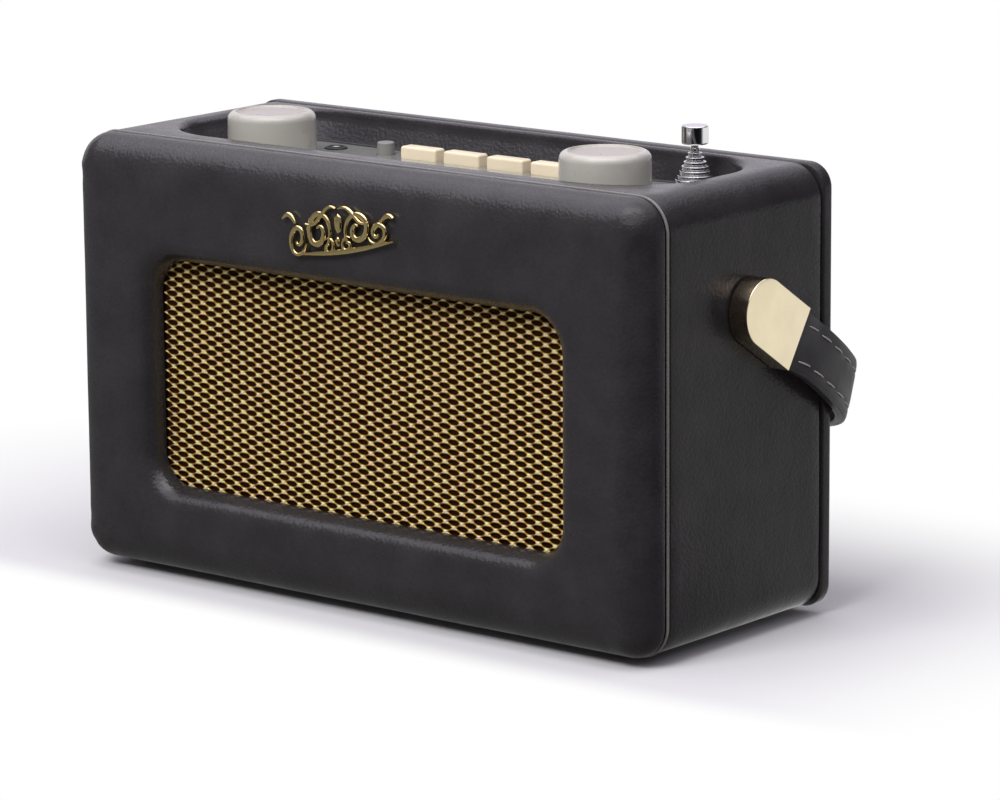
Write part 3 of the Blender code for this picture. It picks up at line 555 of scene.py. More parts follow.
THREAD = thread("grey_thread", (0.56, 0.54, 0.56))


# ---------------------------------------------------------------- leather cabinet

def body_ring(inset, radius, *density):
    """The cabinet's outline seen from the front, drawn in by inset."""
    return outline(WIDTH - 2 * inset, HEIGHT - 2 * inset, radius, (0, MID_Z), *density)


def relief(point):
    """How far the leather stands out at this point: a slow swell and a finer ripple."""
    slow = noise.noise(Vector(point) / SWELL_SIZE)
    quick = noise.noise(Vector(point) / RIPPLE_SIZE)
    return SWELL * slow + RIPPLE * quick


def swollen(mesh, amount):
    """Moves each vertex along its normal by amount(point), so that flat leather isn't dead flat."""
    shape = bmesh.new()
    shape.from_mesh(mesh)
    shape.normal_update()
    moves = [(vertex, vertex.normal * amount(vertex.co)) for vertex in shape.verts]
    for vertex, move in moves:
        vertex.co += move
    shape.to_mesh(mesh)
    shape.free()
    return mesh


def corner_pucker(point):
    """Small folds where the leather is gathered round the front frame's corners."""
    across = abs(point.x) - (WIDTH / 2 - CORNER_R)
    up = abs(point.z - MID_Z) - (HEIGHT / 2 - CORNER_R)
    depth = (point.y - FRONT_LOW.y) / (FRONT_HIGH.y - FRONT_LOW.y)
    if point.y > FRONT_HIGH.y - SEAM_ROUND or depth < 0:
        return 0.0
    reach = hypot(min(across, 0), min(up, 0)) / CORNER_R
    turn = atan2(up + CORNER_R, across + CORNER_R)
    fade = exp(-2 * reach ** 2) * exp(-((depth - 0.22) / 0.22) ** 2)
    wander = noise.noise(point / (6 * MM))
    return PUCKER * fade * sin(2 * PUCKERS * turn + 3 * wander)


def front_leather():
    """The front frame's leather: seam, rounded edge, face, and the roll that turns in to the window."""
    back, face = FRONT_HIGH.y, FRONT_LOW.y
    density = (16, 110, 60)

    def outside(inset, y):
        return upright(body_ring(inset, max(CORNER_R - inset, FRONT_CORNER_R), *density), y)

    def window(out, y):
        size = (WINDOW_W + 2 * out, WINDOW_H + 2 * out)
        return upright(outline(*size, WINDOW_R + out, (0, WINDOW_Z), *density), y)

    rows = [outside(SEAM_ROUND, back), outside(SEAM_ROUND * 0.3, back - SEAM_ROUND * 0.3)]
    for left, inset in rounding(back - SEAM_ROUND - face, 14, FRONT_ROUND):
        rows.append(outside(inset, face + left))
    lip = window(WINDOW_ROLL, face)
    border = rows[-1]
    rows += [mix(border, lip, share) for share in (0.2, 0.4, 0.6, 0.8)]
    for out, deep in rounding(WINDOW_ROLL, 14, WINDOW_DEPTH):
        rows.append(window(out, face + deep))
    rows += [window(REBATE, face + WINDOW_DEPTH), window(REBATE, back), rows[0]]
    mesh = Skin().strip(rows).mesh("front_leather")
    swollen(mesh, lambda point: relief(point) - SWELL + corner_pucker(point))
    stand_for("front_leather", mesh, "front_frame", sharp=60)


def side_places(straight_end, corner, half_arc, steps):
    """Places along one side of the top: corner to straight, along it, and out to the other corner."""
    out = np.linspace(corner, straight_end, half_arc + 1)
    run = np.linspace(straight_end, -straight_end, steps + 1)
    return np.concatenate((out, run[1:], -out[::-1][1:]))


def well_foot(half_arc, along, deep):
    """The well's size, its outline at the panel, the way out from it, and the wall's lip over the panel."""
    low = Vector((PANEL_LOW.x - WELL_GAP, PANEL_LOW.y - WELL_GAP))
    high = Vector((PANEL_HIGH.x + WELL_GAP, PANEL_HIGH.y + WELL_GAP))
    size, middle = high - low, (low + high) / 2
    # The outline starts halfway round its first corner, where the top's own corner is.
    foot = outline(size.x, size.y, WELL_R, middle, 2 * half_arc, along, deep)
    foot = np.roll(foot, -half_arc, axis=0)
    away = np.roll(foot, 1, axis=0) - np.roll(foot, -1, axis=0)
    away = np.column_stack((-away[:, 1], away[:, 0]))
    away /= np.linalg.norm(away, axis=1)[:, None]
    clear = np.linalg.norm(foot - np.array(measure("aerial_collar")[2].xy), axis=1)
    fade = np.clip((clear - LIP_CLEAR) / LIP_FADE, 0, 1)
    lip = LIP_IN * np.clip(1 + away[:, 1], 0, 1) * fade
    return size, foot, away, lip[:, None]


def cabinet_leather():
    """The leather tube: outside, rolled rim, sloping well wall and inside, as one closed skin."""
    front, back = SHELL_LOW.y, SHELL_HIGH.y
    half_arc, along, deep = 6, 60, 16
    size, foot, away, lip = well_foot(half_arc, along, deep)
    half_flat = WIDTH / 2 - CORNER_R
    xs = side_places(size.x / 2 - WELL_R, half_flat, half_arc, along)
    shares = side_places(size.y / 2 - WELL_R, size.y / 2, half_arc, deep) / (size.y / 2)

    def depths(near, far):
        return (near + far) / 2 + shares * (far - near) / 2

    def rectangle(half_x, z, side_ys):
        """Counter-clockwise from the corner at +X and +Y."""
        x = xs / xs[0] * half_x
        top = [(a, side_ys[0]) for a in x[:-1]] + [(-half_x, b) for b in side_ys[:-1]]
        low = [(a, side_ys[-1]) for a in -x[:-1]] + [(half_x, b) for b in side_ys[::-1][:-1]]
        return level(np.array(top + low), z)

    def around(inset, radius, y, top=True):
        """The tube's outline at this y, with or without its top straight."""
        corner, across = 14, 90
        ring = body_ring(inset, radius, corner, across, 40)
        turn, rest = ring[:corner + 1], ring[corner + across:]
        x = xs[1:-1] / xs[0] * (WIDTH / 2 - inset - radius)
        straight = np.column_stack((x, np.full(len(x), MID_Z + HEIGHT / 2 - inset)))
        return upright(np.concatenate((turn, straight, rest) if top else (rest, turn)), y)

    skin = Skin()
    inner_r = 3 * MM
    ys, ys_inside = depths(front + SEAM_ROUND, back - BACK_EDGE), depths(front, back)
    skin.strip([around(0, CORNER_R, y, top=False) for y in ys], closed=False)
    skin.strip([around(WALL, inner_r, y, top=False) for y in ys_inside], closed=False)
    for y, edge, sign in ((front, SEAM_ROUND, 1), (back, BACK_EDGE, -1)):
        rows = [around(WALL, inner_r, y)]
        for inset, lift in rounding(edge, 4):
            rows.append(around(inset, CORNER_R - inset, y + sign * lift))
        skin.strip(rows)
    near_corner = 2 * np.abs(away[:, :1]) * np.clip(-away[:, 1:], 0, 1)
    reach = (RIM_SIDE + (RIM_END - RIM_SIDE) * np.abs(away[:, :1]) ** 2) * (1 - 0.5 * near_corner)
    top_z, floor_z = SHELL_HIGH.z, SHELL_HIGH.z - WALL
    wall_h = top_z - RIM_DROP - PANEL_HIGH.z
    lean = WELL_SLOPE * wall_h / (top_z - PANEL_HIGH.z)
    rows = [rectangle(half_flat, top_z, ys)]
    for share, drop in rounding(1, 8, RIM_DROP):
        rows.append(level(foot + away * (lean + reach * share), top_z - drop))
    lip_z = PANEL_HIGH.z + LIP_UP
    for share in (0.75, 0.5, 0.25, 0):
        rows.append(level(foot + away * mix(-lip, lean, share), mix(lip_z, top_z - RIM_DROP, share)))
    rows += [level(foot, lip_z), level(foot, floor_z)]
    rows.append(rectangle(WIDTH / 2 - WALL - inner_r, floor_z, ys_inside))
    skin.strip(rows)
    mesh = skin.mesh("cabinet_leather", 2e-6)
    swollen(mesh, lambda point: (relief(point) - SWELL) * 0.6)
    stand_for("cabinet_leather", mesh, "cabinet_shell", sharp=50)


def well_shade_bead():
    """A low dark bead round the control panel's edge: painted shade, a dark piece standing in for the shadow at
    the foot of the well's wall.
    """
    foot, away, lip = well_foot(8, 60, 16)[1:]
    bead = ((0.05, 0.0), (0.05, 0.3), (0.3, 0.5), (0.7, 0.5), (1.0, 0.3), (1.1, 0.0), (0.05, 0.0))
    rows = []
    for inset, lift in bead:
        rows.append(level(foot - away * (WELL_GAP + lip + inset * MM), PANEL_HIGH.z + lift * MM))
    # Painted shade: the black bead stands where the wall's foot lies in shadow.
    place("well_shade_bead", Skin().strip(rows), FINISH["black"], "cabinet")


def piping():
    """The bead in the seam, a round cord under a thin skin."""
    low, high, middle, _ = measure("front_piping")
    radius, sides = (high.y - low.y) / 2, 12
    rows = []
    for across, along in circle(sides):
        inset = radius / 2 - radius * across
        rows.append(upright(body_ring(inset, CORNER_R - inset, 24, 40, 24), middle.y + radius * along))
    rows.append(rows[0])
    stand_for("seam_piping", Skin().strip(rows), "front_piping")


# ---------------------------------------------------------------- back

REAR_ROUND, REAR_CORNER_R = 1.7 * MM, 7.0 * MM
DOOR_GAP = 0.4 * MM
SCREW_NODES = [f"rear_screw_{row}_{side}" for row in ("lower", "upper") for side in ("left", "right")]
BACKWARDS = Vector((0, 1, 0))


def rear_leather():
    """The back panel, soft at its front edge and rounder behind, cut for its door, sockets and screws."""
    front = [(inset, REAR_LOW.y + lift) for inset, lift in rounding(BACK_EDGE, 4)]
    back = [(inset, REAR_HIGH.y - drop) for drop, inset in rounding(REAR_ROUND, 8)]
    rows = [upright(body_ring(inset, REAR_CORNER_R - inset, 14, 50, 30), y) for inset, y in front + back]
    mesh = Skin().tube(rows).mesh("rear_leather")
    door_low, door_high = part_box("battery_door")
    reach = Vector((DOOR_GAP, 10 * MM, DOOR_GAP))
    cutters = [block(door_low - reach, door_high + reach, 0.8 * MM)]
    holes = [(node, 0.5 * MM, 20 * MM, 48) for node in ("dc_socket", "aux_socket")]
    holes += [(node, 0.4 * MM, 2 * MM, 32) for node in SCREW_NODES]
    for node, bevel, deep, steps in holes:
        middle, radius = measure(node)[2:]
        radius += WELL_GAP
        profile = [(0, 1 * MM), (radius + bevel, 1 * MM), (radius + bevel, 0), (radius, -bevel),
                   (radius, -deep), (0, -deep)]
        cutters.append(turned(profile, steps, (middle.x, REAR_HIGH.y, middle.z), BACKWARDS))
    stand_for("rear_leather", cut(mesh, "rear", *cutters), "rear_panel", sharp=35)


def rear_screws():
    """Pan-head screws with a cross recess."""
    for node in SCREW_NODES:
        low, high, middle, head = measure(node)
        shank, end = 1.5 * MM, low.y - high.y
        top = (middle.x, high.y, middle.z)
        profile = filleted([(0, 0), (head * 0.62, 0, 0.5 * MM), (head, -0.7 * MM, 0.3 * MM),
                            (head, -1.3 * MM), (shank, -1.3 * MM), (shank, end), (0, end)])
        mesh = turned(profile, 32, top, BACKWARDS).mesh(node)
        arm, half, deep = 1.7 * MM, 0.3 * MM, 0.8 * MM
        slots = []
        for wide, tall in ((arm, half), (half, arm)):
            corner = Vector((wide, deep, tall))
            slots.append(block(Vector(top) - corner, Vector(top) + corner))
        stand_for(node + "_head", cut(mesh, "screw", *slots), node, sharp=35)


def battery_door():
    """The door with its softened edges and a finger dip along the top."""
    low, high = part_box("battery_door")
    size, edge = high - low, 0.5 * MM
    centre = ((low.x + high.x) / 2, (low.z + high.z) / 2)
    rows = [upright(outline(size.x, size.z, edge, centre, 4, 30, 10), low.y)]
    for drop, inset in rounding(edge, 4):
        ring = outline(size.x - 2 * inset, size.z - 2 * inset, edge, centre, 4, 30, 10)
        rows.append(upright(ring, high.y - drop))
    mesh = Skin().tube(rows).mesh("battery_door")
    dip_r, dip_half, dip_down, dip_out = 3.5 * MM, 9 * MM, 4.5 * MM, 0.6 * MM
    profile = filleted([(0, dip_half), (dip_r, dip_half, 1.5 * MM), (dip_r, -dip_half, 1.5 * MM),
                        (0, -dip_half)], 8)
    dip = turned(profile, 48, (centre[0], high.y + dip_out, high.z - dip_down), Vector((1, 0, 0)))
    stand_for("battery_door_leather", cut(mesh, "door", dip), "battery_door", sharp=35)


def sockets():
    """The two sockets in the back, each a flanged barrel with its contact inside."""
    for node, bore, pin in (("dc_socket", 2.8 * MM, 1.0 * MM), ("aux_socket", 1.8 * MM, 0.0)):
        low, high, middle, barrel = measure(node)
        depth = high.y - low.y
        place_at = (middle.x, high.y, middle.z)
        profile = filleted([(0, -depth * 0.9), (bore, -depth * 0.9), (bore, 0, 0.35 * MM),
                            (barrel, 0, 0.5 * MM), (barrel, -depth), (0, -depth)])
        stand_for(node + "_barrel", turned(profile, 48, place_at, BACKWARDS), node)
        if pin:
            tip = filleted([(0, -1.5 * MM), (pin, -1.5 * MM, 0.5 * MM), (pin, -depth * 0.88),
                            (0, -depth * 0.88)])
            made = place(node + "_pin", turned(tip, 24, place_at, BACKWARDS), FINISH["steel"], "cabinet")
        else:
            ring = [(bore + 0.7 * MM, 0), (bore + 0.7 * MM, 0.1 * MM), (bore, 0.1 * MM),
                    (bore, -3 * MM), (bore + 0.2 * MM, -3 * MM)]
            lining = turned(ring, 48, place_at, BACKWARDS)
            made = place(node + "_lining", lining, FINISH["steel"], "cabinet")


def feet():
    """Rubber feet, each hollow in the middle."""
    for node in (name for name in NODES if name.startswith("foot_")):
        low, high, _, radius = measure(node)
        corners = [(0, high.z), (radius, high.z), (radius, low.z, 0.7 * MM), (radius * 0.55, low.z),
                   (radius * 0.5, low.z + 0.3 * MM), (0, low.z + 0.3 * MM)]
        lathed(node + "_pad", node, corners, 48)


# ---------------------------------------------------------------- grille

HOLE_W, HOLE_H = 4.3 * MM, 1.66 * MM
STRAND_T = 0.34 * MM


def grille():
    """Expanded metal: strands in two slanting families that cross at the knots between the holes."""
    points_round = 20
    per_side = points_round // 4
    corners = [(CELL_W / 2, 0), (0, CELL_H / 2), (-CELL_W / 2, 0), (0, -CELL_H / 2)]
    rim, hole, rising = [], [], []
    for k in range(points_round):
        side, step = divmod(k, per_side)
        (x0, z0), (x1, z1) = corners[side], corners[(side + 1) % 4]
        share = step / per_side
        rim.append((mix(x0, x1, share), mix(z0, z1, share)))
        angle = 2 * pi * k / points_round
        hole.append((HOLE_W / 2 * cos(angle), HOLE_H / 2 * sin(angle) * abs(sin(angle)) ** 0.8))
        rising.append(sin(pi * share) ** 2 if side in (0, 2) else 0.0)
    rim, hole, rising = np.array(rim), np.array(hole), np.array(rising)
    above = np.sin(2 * np.pi * np.arange(points_round) / points_round)
    bulge, behind, tilt, back = 0.30 * MM, 0.16 * MM, 0.16 * MM, 0.16 * MM
    rows = []
    for share in (0, 0.3, 0.62, 1):
        flat = mix(rim, hole, share)
        deep = MESH_LOW.y + back + bulge * share ** 2 + behind * rising - tilt * share * above
        rows.append(np.column_stack((flat[:, 0], deep, flat[:, 1])))
    half_w, half_h = (MESH_HIGH.x - MESH_LOW.x) / 2, (MESH_HIGH.z - MESH_LOW.z) / 2
    columns, lines = int(half_w / CELL_W) + 1, int(half_h / CELL_H) + 1
    skin = Skin()
    for i in range(-2 * columns, 2 * columns + 1):
        for j in range(-2 * lines, 2 * lines + 1):
            x, z = i * CELL_W / 2, j * CELL_H / 2
            inside = abs(x) < half_w - CELL_W / 2 and abs(z) < half_h - CELL_H / 2
            if (i + j) % 2 == 0 and inside:
                skin.strip([row + (MESH_X + x, 0, WINDOW_Z + z) for row in rows])
    mesh = skin.mesh("grille", 1e-6)
    solid = linked("grille_solid", mesh)
    thick = solid.modifiers.new("Thickness", "SOLIDIFY")
    thick.thickness = STRAND_T
    thick.offset = -1 if mesh.polygons[0].normal.y < 0 else 1
    gold = mesh_gold("mesh_gold")
    stand_for("grille_expanded_mesh", applied(solid), "grille_mesh", material=gold, sharp=50)


# ---------------------------------------------------------------- badge

def sweep(path, widths, depth, steps=12):
    """A stroke along an (x, z) path: ovals of these half widths and this depth."""
    rows = []
    for point, right, half in zip(*path_frames(path), widths):
        spots = [(point - right * half * across, depth / 2 * out) for across, out in circle(steps)]
        rows.append([(x, y, z) for (x, z), y in spots])
    return rows


def spiral(centre, radius, start, turns, hand, steps=44):
    """Points of a scroll that winds in from this radius, its start angle in quarter turns."""
    points = []
    for i in range(steps + 1):
        share = i / steps
        angle = start * pi / 2 + hand * 2 * pi * turns * share
        reach = radius * (1 - share) ** 0.8 + 0.16 * radius * share
        points.append((centre[0] + reach * cos(angle), centre[1] + reach * sin(angle)))
    return points


def badge():
    """A mirrored scroll ornament round a small lozenge, on a slender tapered bar. It holds no letters."""
    low, high, middle, _ = measure("badge")
    depth = high.y - low.y
    skin = Skin()

    def slanted(x, z):
        """Fits the ornament between its rising lower edge and its gently rising top."""
        lower, upper = -5.2 * MM + 0.22 * x, 7.2 * MM + 0.06 * x
        return x, mix(lower, upper, (z + 3.7 * MM) / (10.3 * MM))

    def stand(rows, y=0.0):
        """Adds rows of points that are measured from the badge's middle, this far behind it."""
        skin.tube([[(middle.x + a, middle.y + y + b, middle.z + c) for a, b, c in row] for row in rows])

    def tapered(path, widest):
        """A stroke that thins to 0.3 of its widest at both ends."""
        ends = len(path) + 0.6
        widths = [widest * (0.30 + 0.70 * sin(pi * (i + 0.8) / ends) ** 0.8) for i in range(len(path))]
        return sweep(path, widths, depth * 0.8)

    def pair(path, widest, y=0.0):
        for sign in (1, -1):
            stand(tapered([slanted(sign * x, z) for x, z in path], widest), y)

    pair(spiral((7.2 * MM, 1.0 * MM), 4.7 * MM, 2.6, 1.45, -1), 0.95 * MM)
    pair(spiral((14.6 * MM, -0.2 * MM), 3.4 * MM, 2.2, 1.35, 1), 0.80 * MM, -0.1 * MM)
    pair(spiral((3.4 * MM, -2.6 * MM), 2.1 * MM, 0.6, 1.2, 1), 0.64 * MM, 0.1 * MM)
    leaf = [(mix(15.5, 20.2, t), 2.8 + 1.8 * sin(pi * t * 0.8)) for t in np.linspace(0, 1, 16)]
    pair([(x * MM, z * MM) for x, z in leaf], 0.80 * MM)
    tendril = [(mix(0.5, 11.5, t), 6.2 - 3.4 * t + sin(2 * pi * t)) for t in np.linspace(0, 1, 24)]
    pair([(x * MM, z * MM) for x, z in tendril], 0.64 * MM, -0.15 * MM)
    bar = [(mix(-14.4, 20.4, t), mix(-7.6, -0.4, t) - sin(pi * t)) for t in np.linspace(0, 1, 30)]
    stand(tapered([(x * MM, z * MM) for x, z in bar], 0.82 * MM))
    for x, z, reach in ((0, 2.6 * MM, 2.3 * MM), (0, -1.6 * MM, 1.2 * MM)):
        rows = []
        for share in np.linspace(-1, 1, 7):
            size = reach * (1 - abs(share) ** 2.2) + 0.02 * MM
            rows.append([(x + 0.62 * size * a, depth / 2 * share, slanted(0, z + size * b)[1])
                         for a, b in circle(8)])
        stand(rows)
    stand_for("badge_scrolls", skin, "badge", sharp=45)


# ---------------------------------------------------------------- controls

def knobs():
    """Knobs with a rounded shoulder, a bright lip and a shallow dished top, the dished top in a darker copy of the
    knob plastic as painted shade.
    """
    shoulder, lip, dish, bore, deep = 2.3 * MM, 10.5 * MM, 0.65 * MM, 3.3 * MM, 8 * MM
    for node in ("volume_knob", "tuning_knob"):
        low, high, middle, radius = measure(node)
        foot, top = low.z, high.z
        corners = [(0, top - dish), (lip - 0.4 * MM, top - dish, 0.4 * MM), (lip, top, 0.15 * MM),
                   (radius - 0.15 * MM, top, shoulder), (radius, foot, 0.4 * MM), (bore, foot, 0.2 * MM),
                   (bore, foot + deep), (0, foot + deep)]
        made = lathed(node + "_cap", node, corners, 96, 8)
        # Painted shade: the faces of the dished top take the darker copy of the knob plastic.
        made.data.materials.append(FINISH["painted_shade_disc"])
        for face in made.data.polygons:
            spot = face.center - middle
            if face.center.z > top - 1.2 * dish and hypot(spot.x, spot.y) < lip - 0.5 * MM:
                face.material_index = 1


def keys():
    """Cream keys with soft edges and a slight crown."""
    edge, crown = 0.75 * MM, 0.12 * MM
    density = {"corner": 5, "across": 10, "up": 5}
    for number in range(1, 5):
        node = f"preset_key_{number}"
        low, high, middle, _ = measure(node)
        size = high - low
        rows = [level(outline(size.x, size.y, edge, middle.xy, **density), low.z)]
        for drop, inset in rounding(edge, 6):
            ring = outline(size.x - 2 * inset, size.y - 2 * inset, edge - 0.6 * inset, middle.xy, **density)
            rows.append(level(ring, high.z - crown - drop))
        last = rows[-1]
        for share in (0.3, 0.65, 1.0):
            ring = mix(last, np.array((*middle.xy, high.z)), share)
            ring[:, 2] = high.z - crown * (1 - share) ** 2
            rows.append(ring)
        stand_for(f"{node}_cap", Skin().strip(rows).cap(rows[0]), node)


def button_and_socket():
    """The power button, and the small socket beside the keys with a boss and a bright lining."""
    low, high, _, radius = measure("power_button")
    corners = [(0, high.z - 0.15 * MM), (radius * 0.6, high.z), (radius, high.z, 0.45 * MM),
               (radius, low.z), (0, low.z)]
    lathed("power_button_cap", "power_button", corners, 48, 6)
    low, high, middle, radius = measure("headphone_socket")
    top, rise = high.z, 0.3 * MM
    bore, boss = 1.75 * MM, 2.3 * MM
    corners = [(bore, low.z), (bore, top + rise, 0.15 * MM), (boss, top + rise, 0.2 * MM),
               (boss, top, 0.1 * MM), (radius, top, 0.3 * MM), (radius, low.z), (bore, low.z)]
    lathed("headphone_socket_ring", "headphone_socket", corners, 48)
    lining, mouth = bore - 0.05 * MM, 0.8 * MM
    profile = filleted([(lining, low.z), (lining, top + 0.1 * MM, 0.15 * MM),
                        (mouth, top - 0.1 * MM, 0.2 * MM), (mouth, low.z), (lining, low.z)])
    made = place("headphone_socket_lining", turned(profile, 32, middle), FINISH["steel"], "cabinet")


def aerial():
    """Seven chrome tubes, each with a rounded bead, and the drum-shaped tip."""
    bead_h, bead_out, bead_edge = 0.85 * MM, 0.25 * MM, 0.14 * MM
    wall, neck, neck_h, pin = 0.35 * MM, 1.1 * MM, 1.25 * MM, 1.4 * MM
    low, high, spot, flange = measure("aerial_collar")
    bore = measure("aerial_section_1")[3]
    corners = [(bore, low.z), (bore, high.z, 0.1 * MM), (bore + 0.7 * MM, high.z, 0.2 * MM),
               (flange, mix(low.z, high.z, 0.35), 0.3 * MM), (flange, low.z), (bore, low.z)]
    lathed("aerial_collar_ring", "aerial_collar", corners, 64)
    for k in range(1, 8):
        node = f"aerial_section_{k}"
        low, high, _, bead = measure(node)
        tube = bead - bead_out
        top = high.z if k < 7 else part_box("aerial_section_6")[1].z + neck_h
        side = [(bead, top, bead_edge), (bead, top - bead_h, bead_edge), (tube, top - bead_h),
                (tube, low.z)]
        if k < 7:
            inner = tube - wall
            profile = [(inner, low.z), (inner, top, 0.1 * MM), *side, (inner, low.z)]
        else:
            profile = [(0, high.z), (neck, high.z), (neck, top, 0.2 * MM), *side, (0, low.z)]
        stand_for(f"aerial_tube_{k}", turned(held(filleted(profile, 6)), 64, spot), node)
    low, high, _, radius = measure("aerial_tip")
    profile = filleted([(0, high.z), (radius, high.z, 0.35 * MM), (radius, low.z, 0.45 * MM),
                        (pin, low.z), (pin, low.z + 3 * MM), (0, low.z + 3 * MM)], 6)
    stand_for("aerial_tip_drum", turned(held(profile), 64, spot), "aerial_tip")


# ---------------------------------------------------------------- handle

STRAP_W, STRAP_T = 17.4 * MM, 3.7 * MM
STRAP_START, STRAP_EASE = 7 * MM, 30 * MM
EASE_R, EASE_TURN = 77 * MM, radians(17)
TWIST, TWIST_START, TWIST_END = radians(7.5), 18 * MM, 28 * MM
STRAP_RISE = 0.5 * MM
CAP_R, CAP_END = 9.4 * MM, 18.1 * MM
STITCH_PITCH, STITCH_L, STITCH_R, STITCH_IN = 7.6 * MM, 5.8 * MM, 0.24 * MM, 3.4 * MM


def handle_frame():
    """The matrix from the handle's own frame, (x, along the strap, across the strap), to the row frame."""
    pivot = Vector(JOINTS["handle_swing"]["pos_m"])
    points = [vertex.co - pivot for vertex in NODES["handle_strap"].data.vertices]
    along = sum((Vector((0, p.y, p.z)) for p in points), Vector()).normalized()
    across = Vector((1, 0, 0)).cross(along)
    turn = Matrix((Vector((1, 0, 0)), along, across)).transposed().to_4x4()
    return Matrix.Translation((0, pivot.y, pivot.z)) @ turn


def strap_path(outer_x, reach, inset):
    """(x, along) points of the strap, inset from its outer face: straight, easing in, bent, and across."""
    eased = EASE_TURN / (pi / 2)
    ease = (outer_x - EASE_R, STRAP_EASE)
    turn_x, turn_s = ease[0] + EASE_R * cos(EASE_TURN), ease[1] + EASE_R * sin(EASE_TURN)
    bend_r = (reach - turn_s) / (1 - sin(EASE_TURN))
    bend = (turn_x - bend_r * cos(EASE_TURN), reach - bend_r)
    right = [(outer_x - inset, mix(STRAP_START, STRAP_EASE, i / 12)) for i in range(12)]
    right += arc(ease, EASE_R - inset, 0, eased, 12)[:-1]
    right += arc(bend, bend_r - inset, eased, 1, 20)
    across = [(mix(bend[0], -bend[0], i / 40), reach - inset) for i in range(1, 40)]
    return right + across + [(-x, s) for x, s in reversed(right)]


def strap_lay(x, s, out, across):
    """A point of the strap's section, leaned and raised where the strap has left its caps."""
    share = min(max((s - TWIST_START) / (TWIST_END - TWIST_START), 0), 1)
    share *= share * (3 - 2 * share) * min(abs(x) / (80 * MM), 1) ** 0.5
    lean = TWIST * share
    return out * cos(lean) - across * sin(lean), across * cos(lean) + out * sin(lean) + STRAP_RISE * share


def strap_section():
    """(out, across) points of the strap's section, with a pressed line by each row of stitches."""
    half, thick = STRAP_W / 2, STRAP_T / 2
    edge, groove, crown = 1.3 * MM, 0.16 * MM, 0.25 * MM
    ring = outline(STRAP_T, STRAP_W, edge, (0, 0), 6, 2, 40)
    section = []
    for out, across in ring:
        line = exp(-((abs(across) - (half - STITCH_IN)) / (0.55 * MM)) ** 2)
        middle = 1 - (across / half) ** 2
        if abs(out) > thick - 0.2 * MM:
            out -= (groove * line - crown * (middle - 1)) * (1 if out > 0 else -1)
        seam = exp(-(out / (0.28 * MM)) ** 2) if abs(across) > half - 0.4 * MM else 0
        section.append((out, across - seam * 0.22 * MM * (1 if across > 0 else -1)))
    return section


def handle():
    """The strap with its stitches and its two caps, all in the handle's own frame."""
    matrix = handle_frame()
    outer_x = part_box("handle_strap")[1].x
    far = max((matrix.inverted() @ v.co).y for v in NODES["handle_strap"].data.vertices)
    path, out = path_frames(strap_path(outer_x, far, STRAP_T / 2))
    section = strap_section()
    rows = []
    for point, normal in zip(path, out):
        laid = [strap_lay(*point, o, a) for o, a in section]
        rows.append([matrix @ Vector((*(point + normal * o), a)) for o, a in laid])
    mesh = Skin().tube(rows).mesh("handle_strap")
    swollen(mesh, lambda point: 0.05 * MM * noise.noise(point / (5 * MM)))
    stand_for("handle_strap_leather", mesh, "handle_strap", sharp=50)
    stitches(matrix, path, out)
    caps(matrix)


def stitches(matrix, path, out):
    """Rows of sewn thread on both faces of the strap, each stitch diving at its ends."""
    skin = Skin()
    lengths = np.concatenate(([0], np.cumsum(np.linalg.norm(np.diff(path, axis=0), axis=1))))
    first = CAP_END - STRAP_START + 1.2 * MM
    count = int((lengths[-1] - 2 * first) / STITCH_PITCH)
    margin = (lengths[-1] - (count - 1) * STITCH_PITCH - STITCH_L) / 2
    for face in (1, -1):
        for number in range(count):
            for side in (-1, 1):
                rows = []
                for i in range(11):
                    share = i / 10
                    reach = margin + number * STITCH_PITCH + STITCH_L * share
                    spot = np.array([np.interp(reach, lengths, path[:, a]) for a in (0, 1)])
                    normal = np.array([np.interp(reach, lengths, out[:, a]) for a in (0, 1)])
                    arch = sin(pi * share) ** 0.5
                    radius = STITCH_R * (0.45 + 0.55 * arch)
                    lift = -1.1 * STITCH_R * (1 - arch)
                    across = side * (STRAP_W / 2 - STITCH_IN) + 0.16 * MM * (share - 0.5) * 2
                    row = []
                    for cosine, sine in circle(8):
                        stand = face * (STRAP_T / 2 - 0.10 * MM + lift + radius * sine)
                        o, a = strap_lay(*spot, stand, across + radius * cosine)
                        row.append(matrix @ Vector((*(spot + normal * o), a)))
                    rows.append(row)
                skin.tube(rows)
    place("strap_stitches", skin, THREAD, "handle")


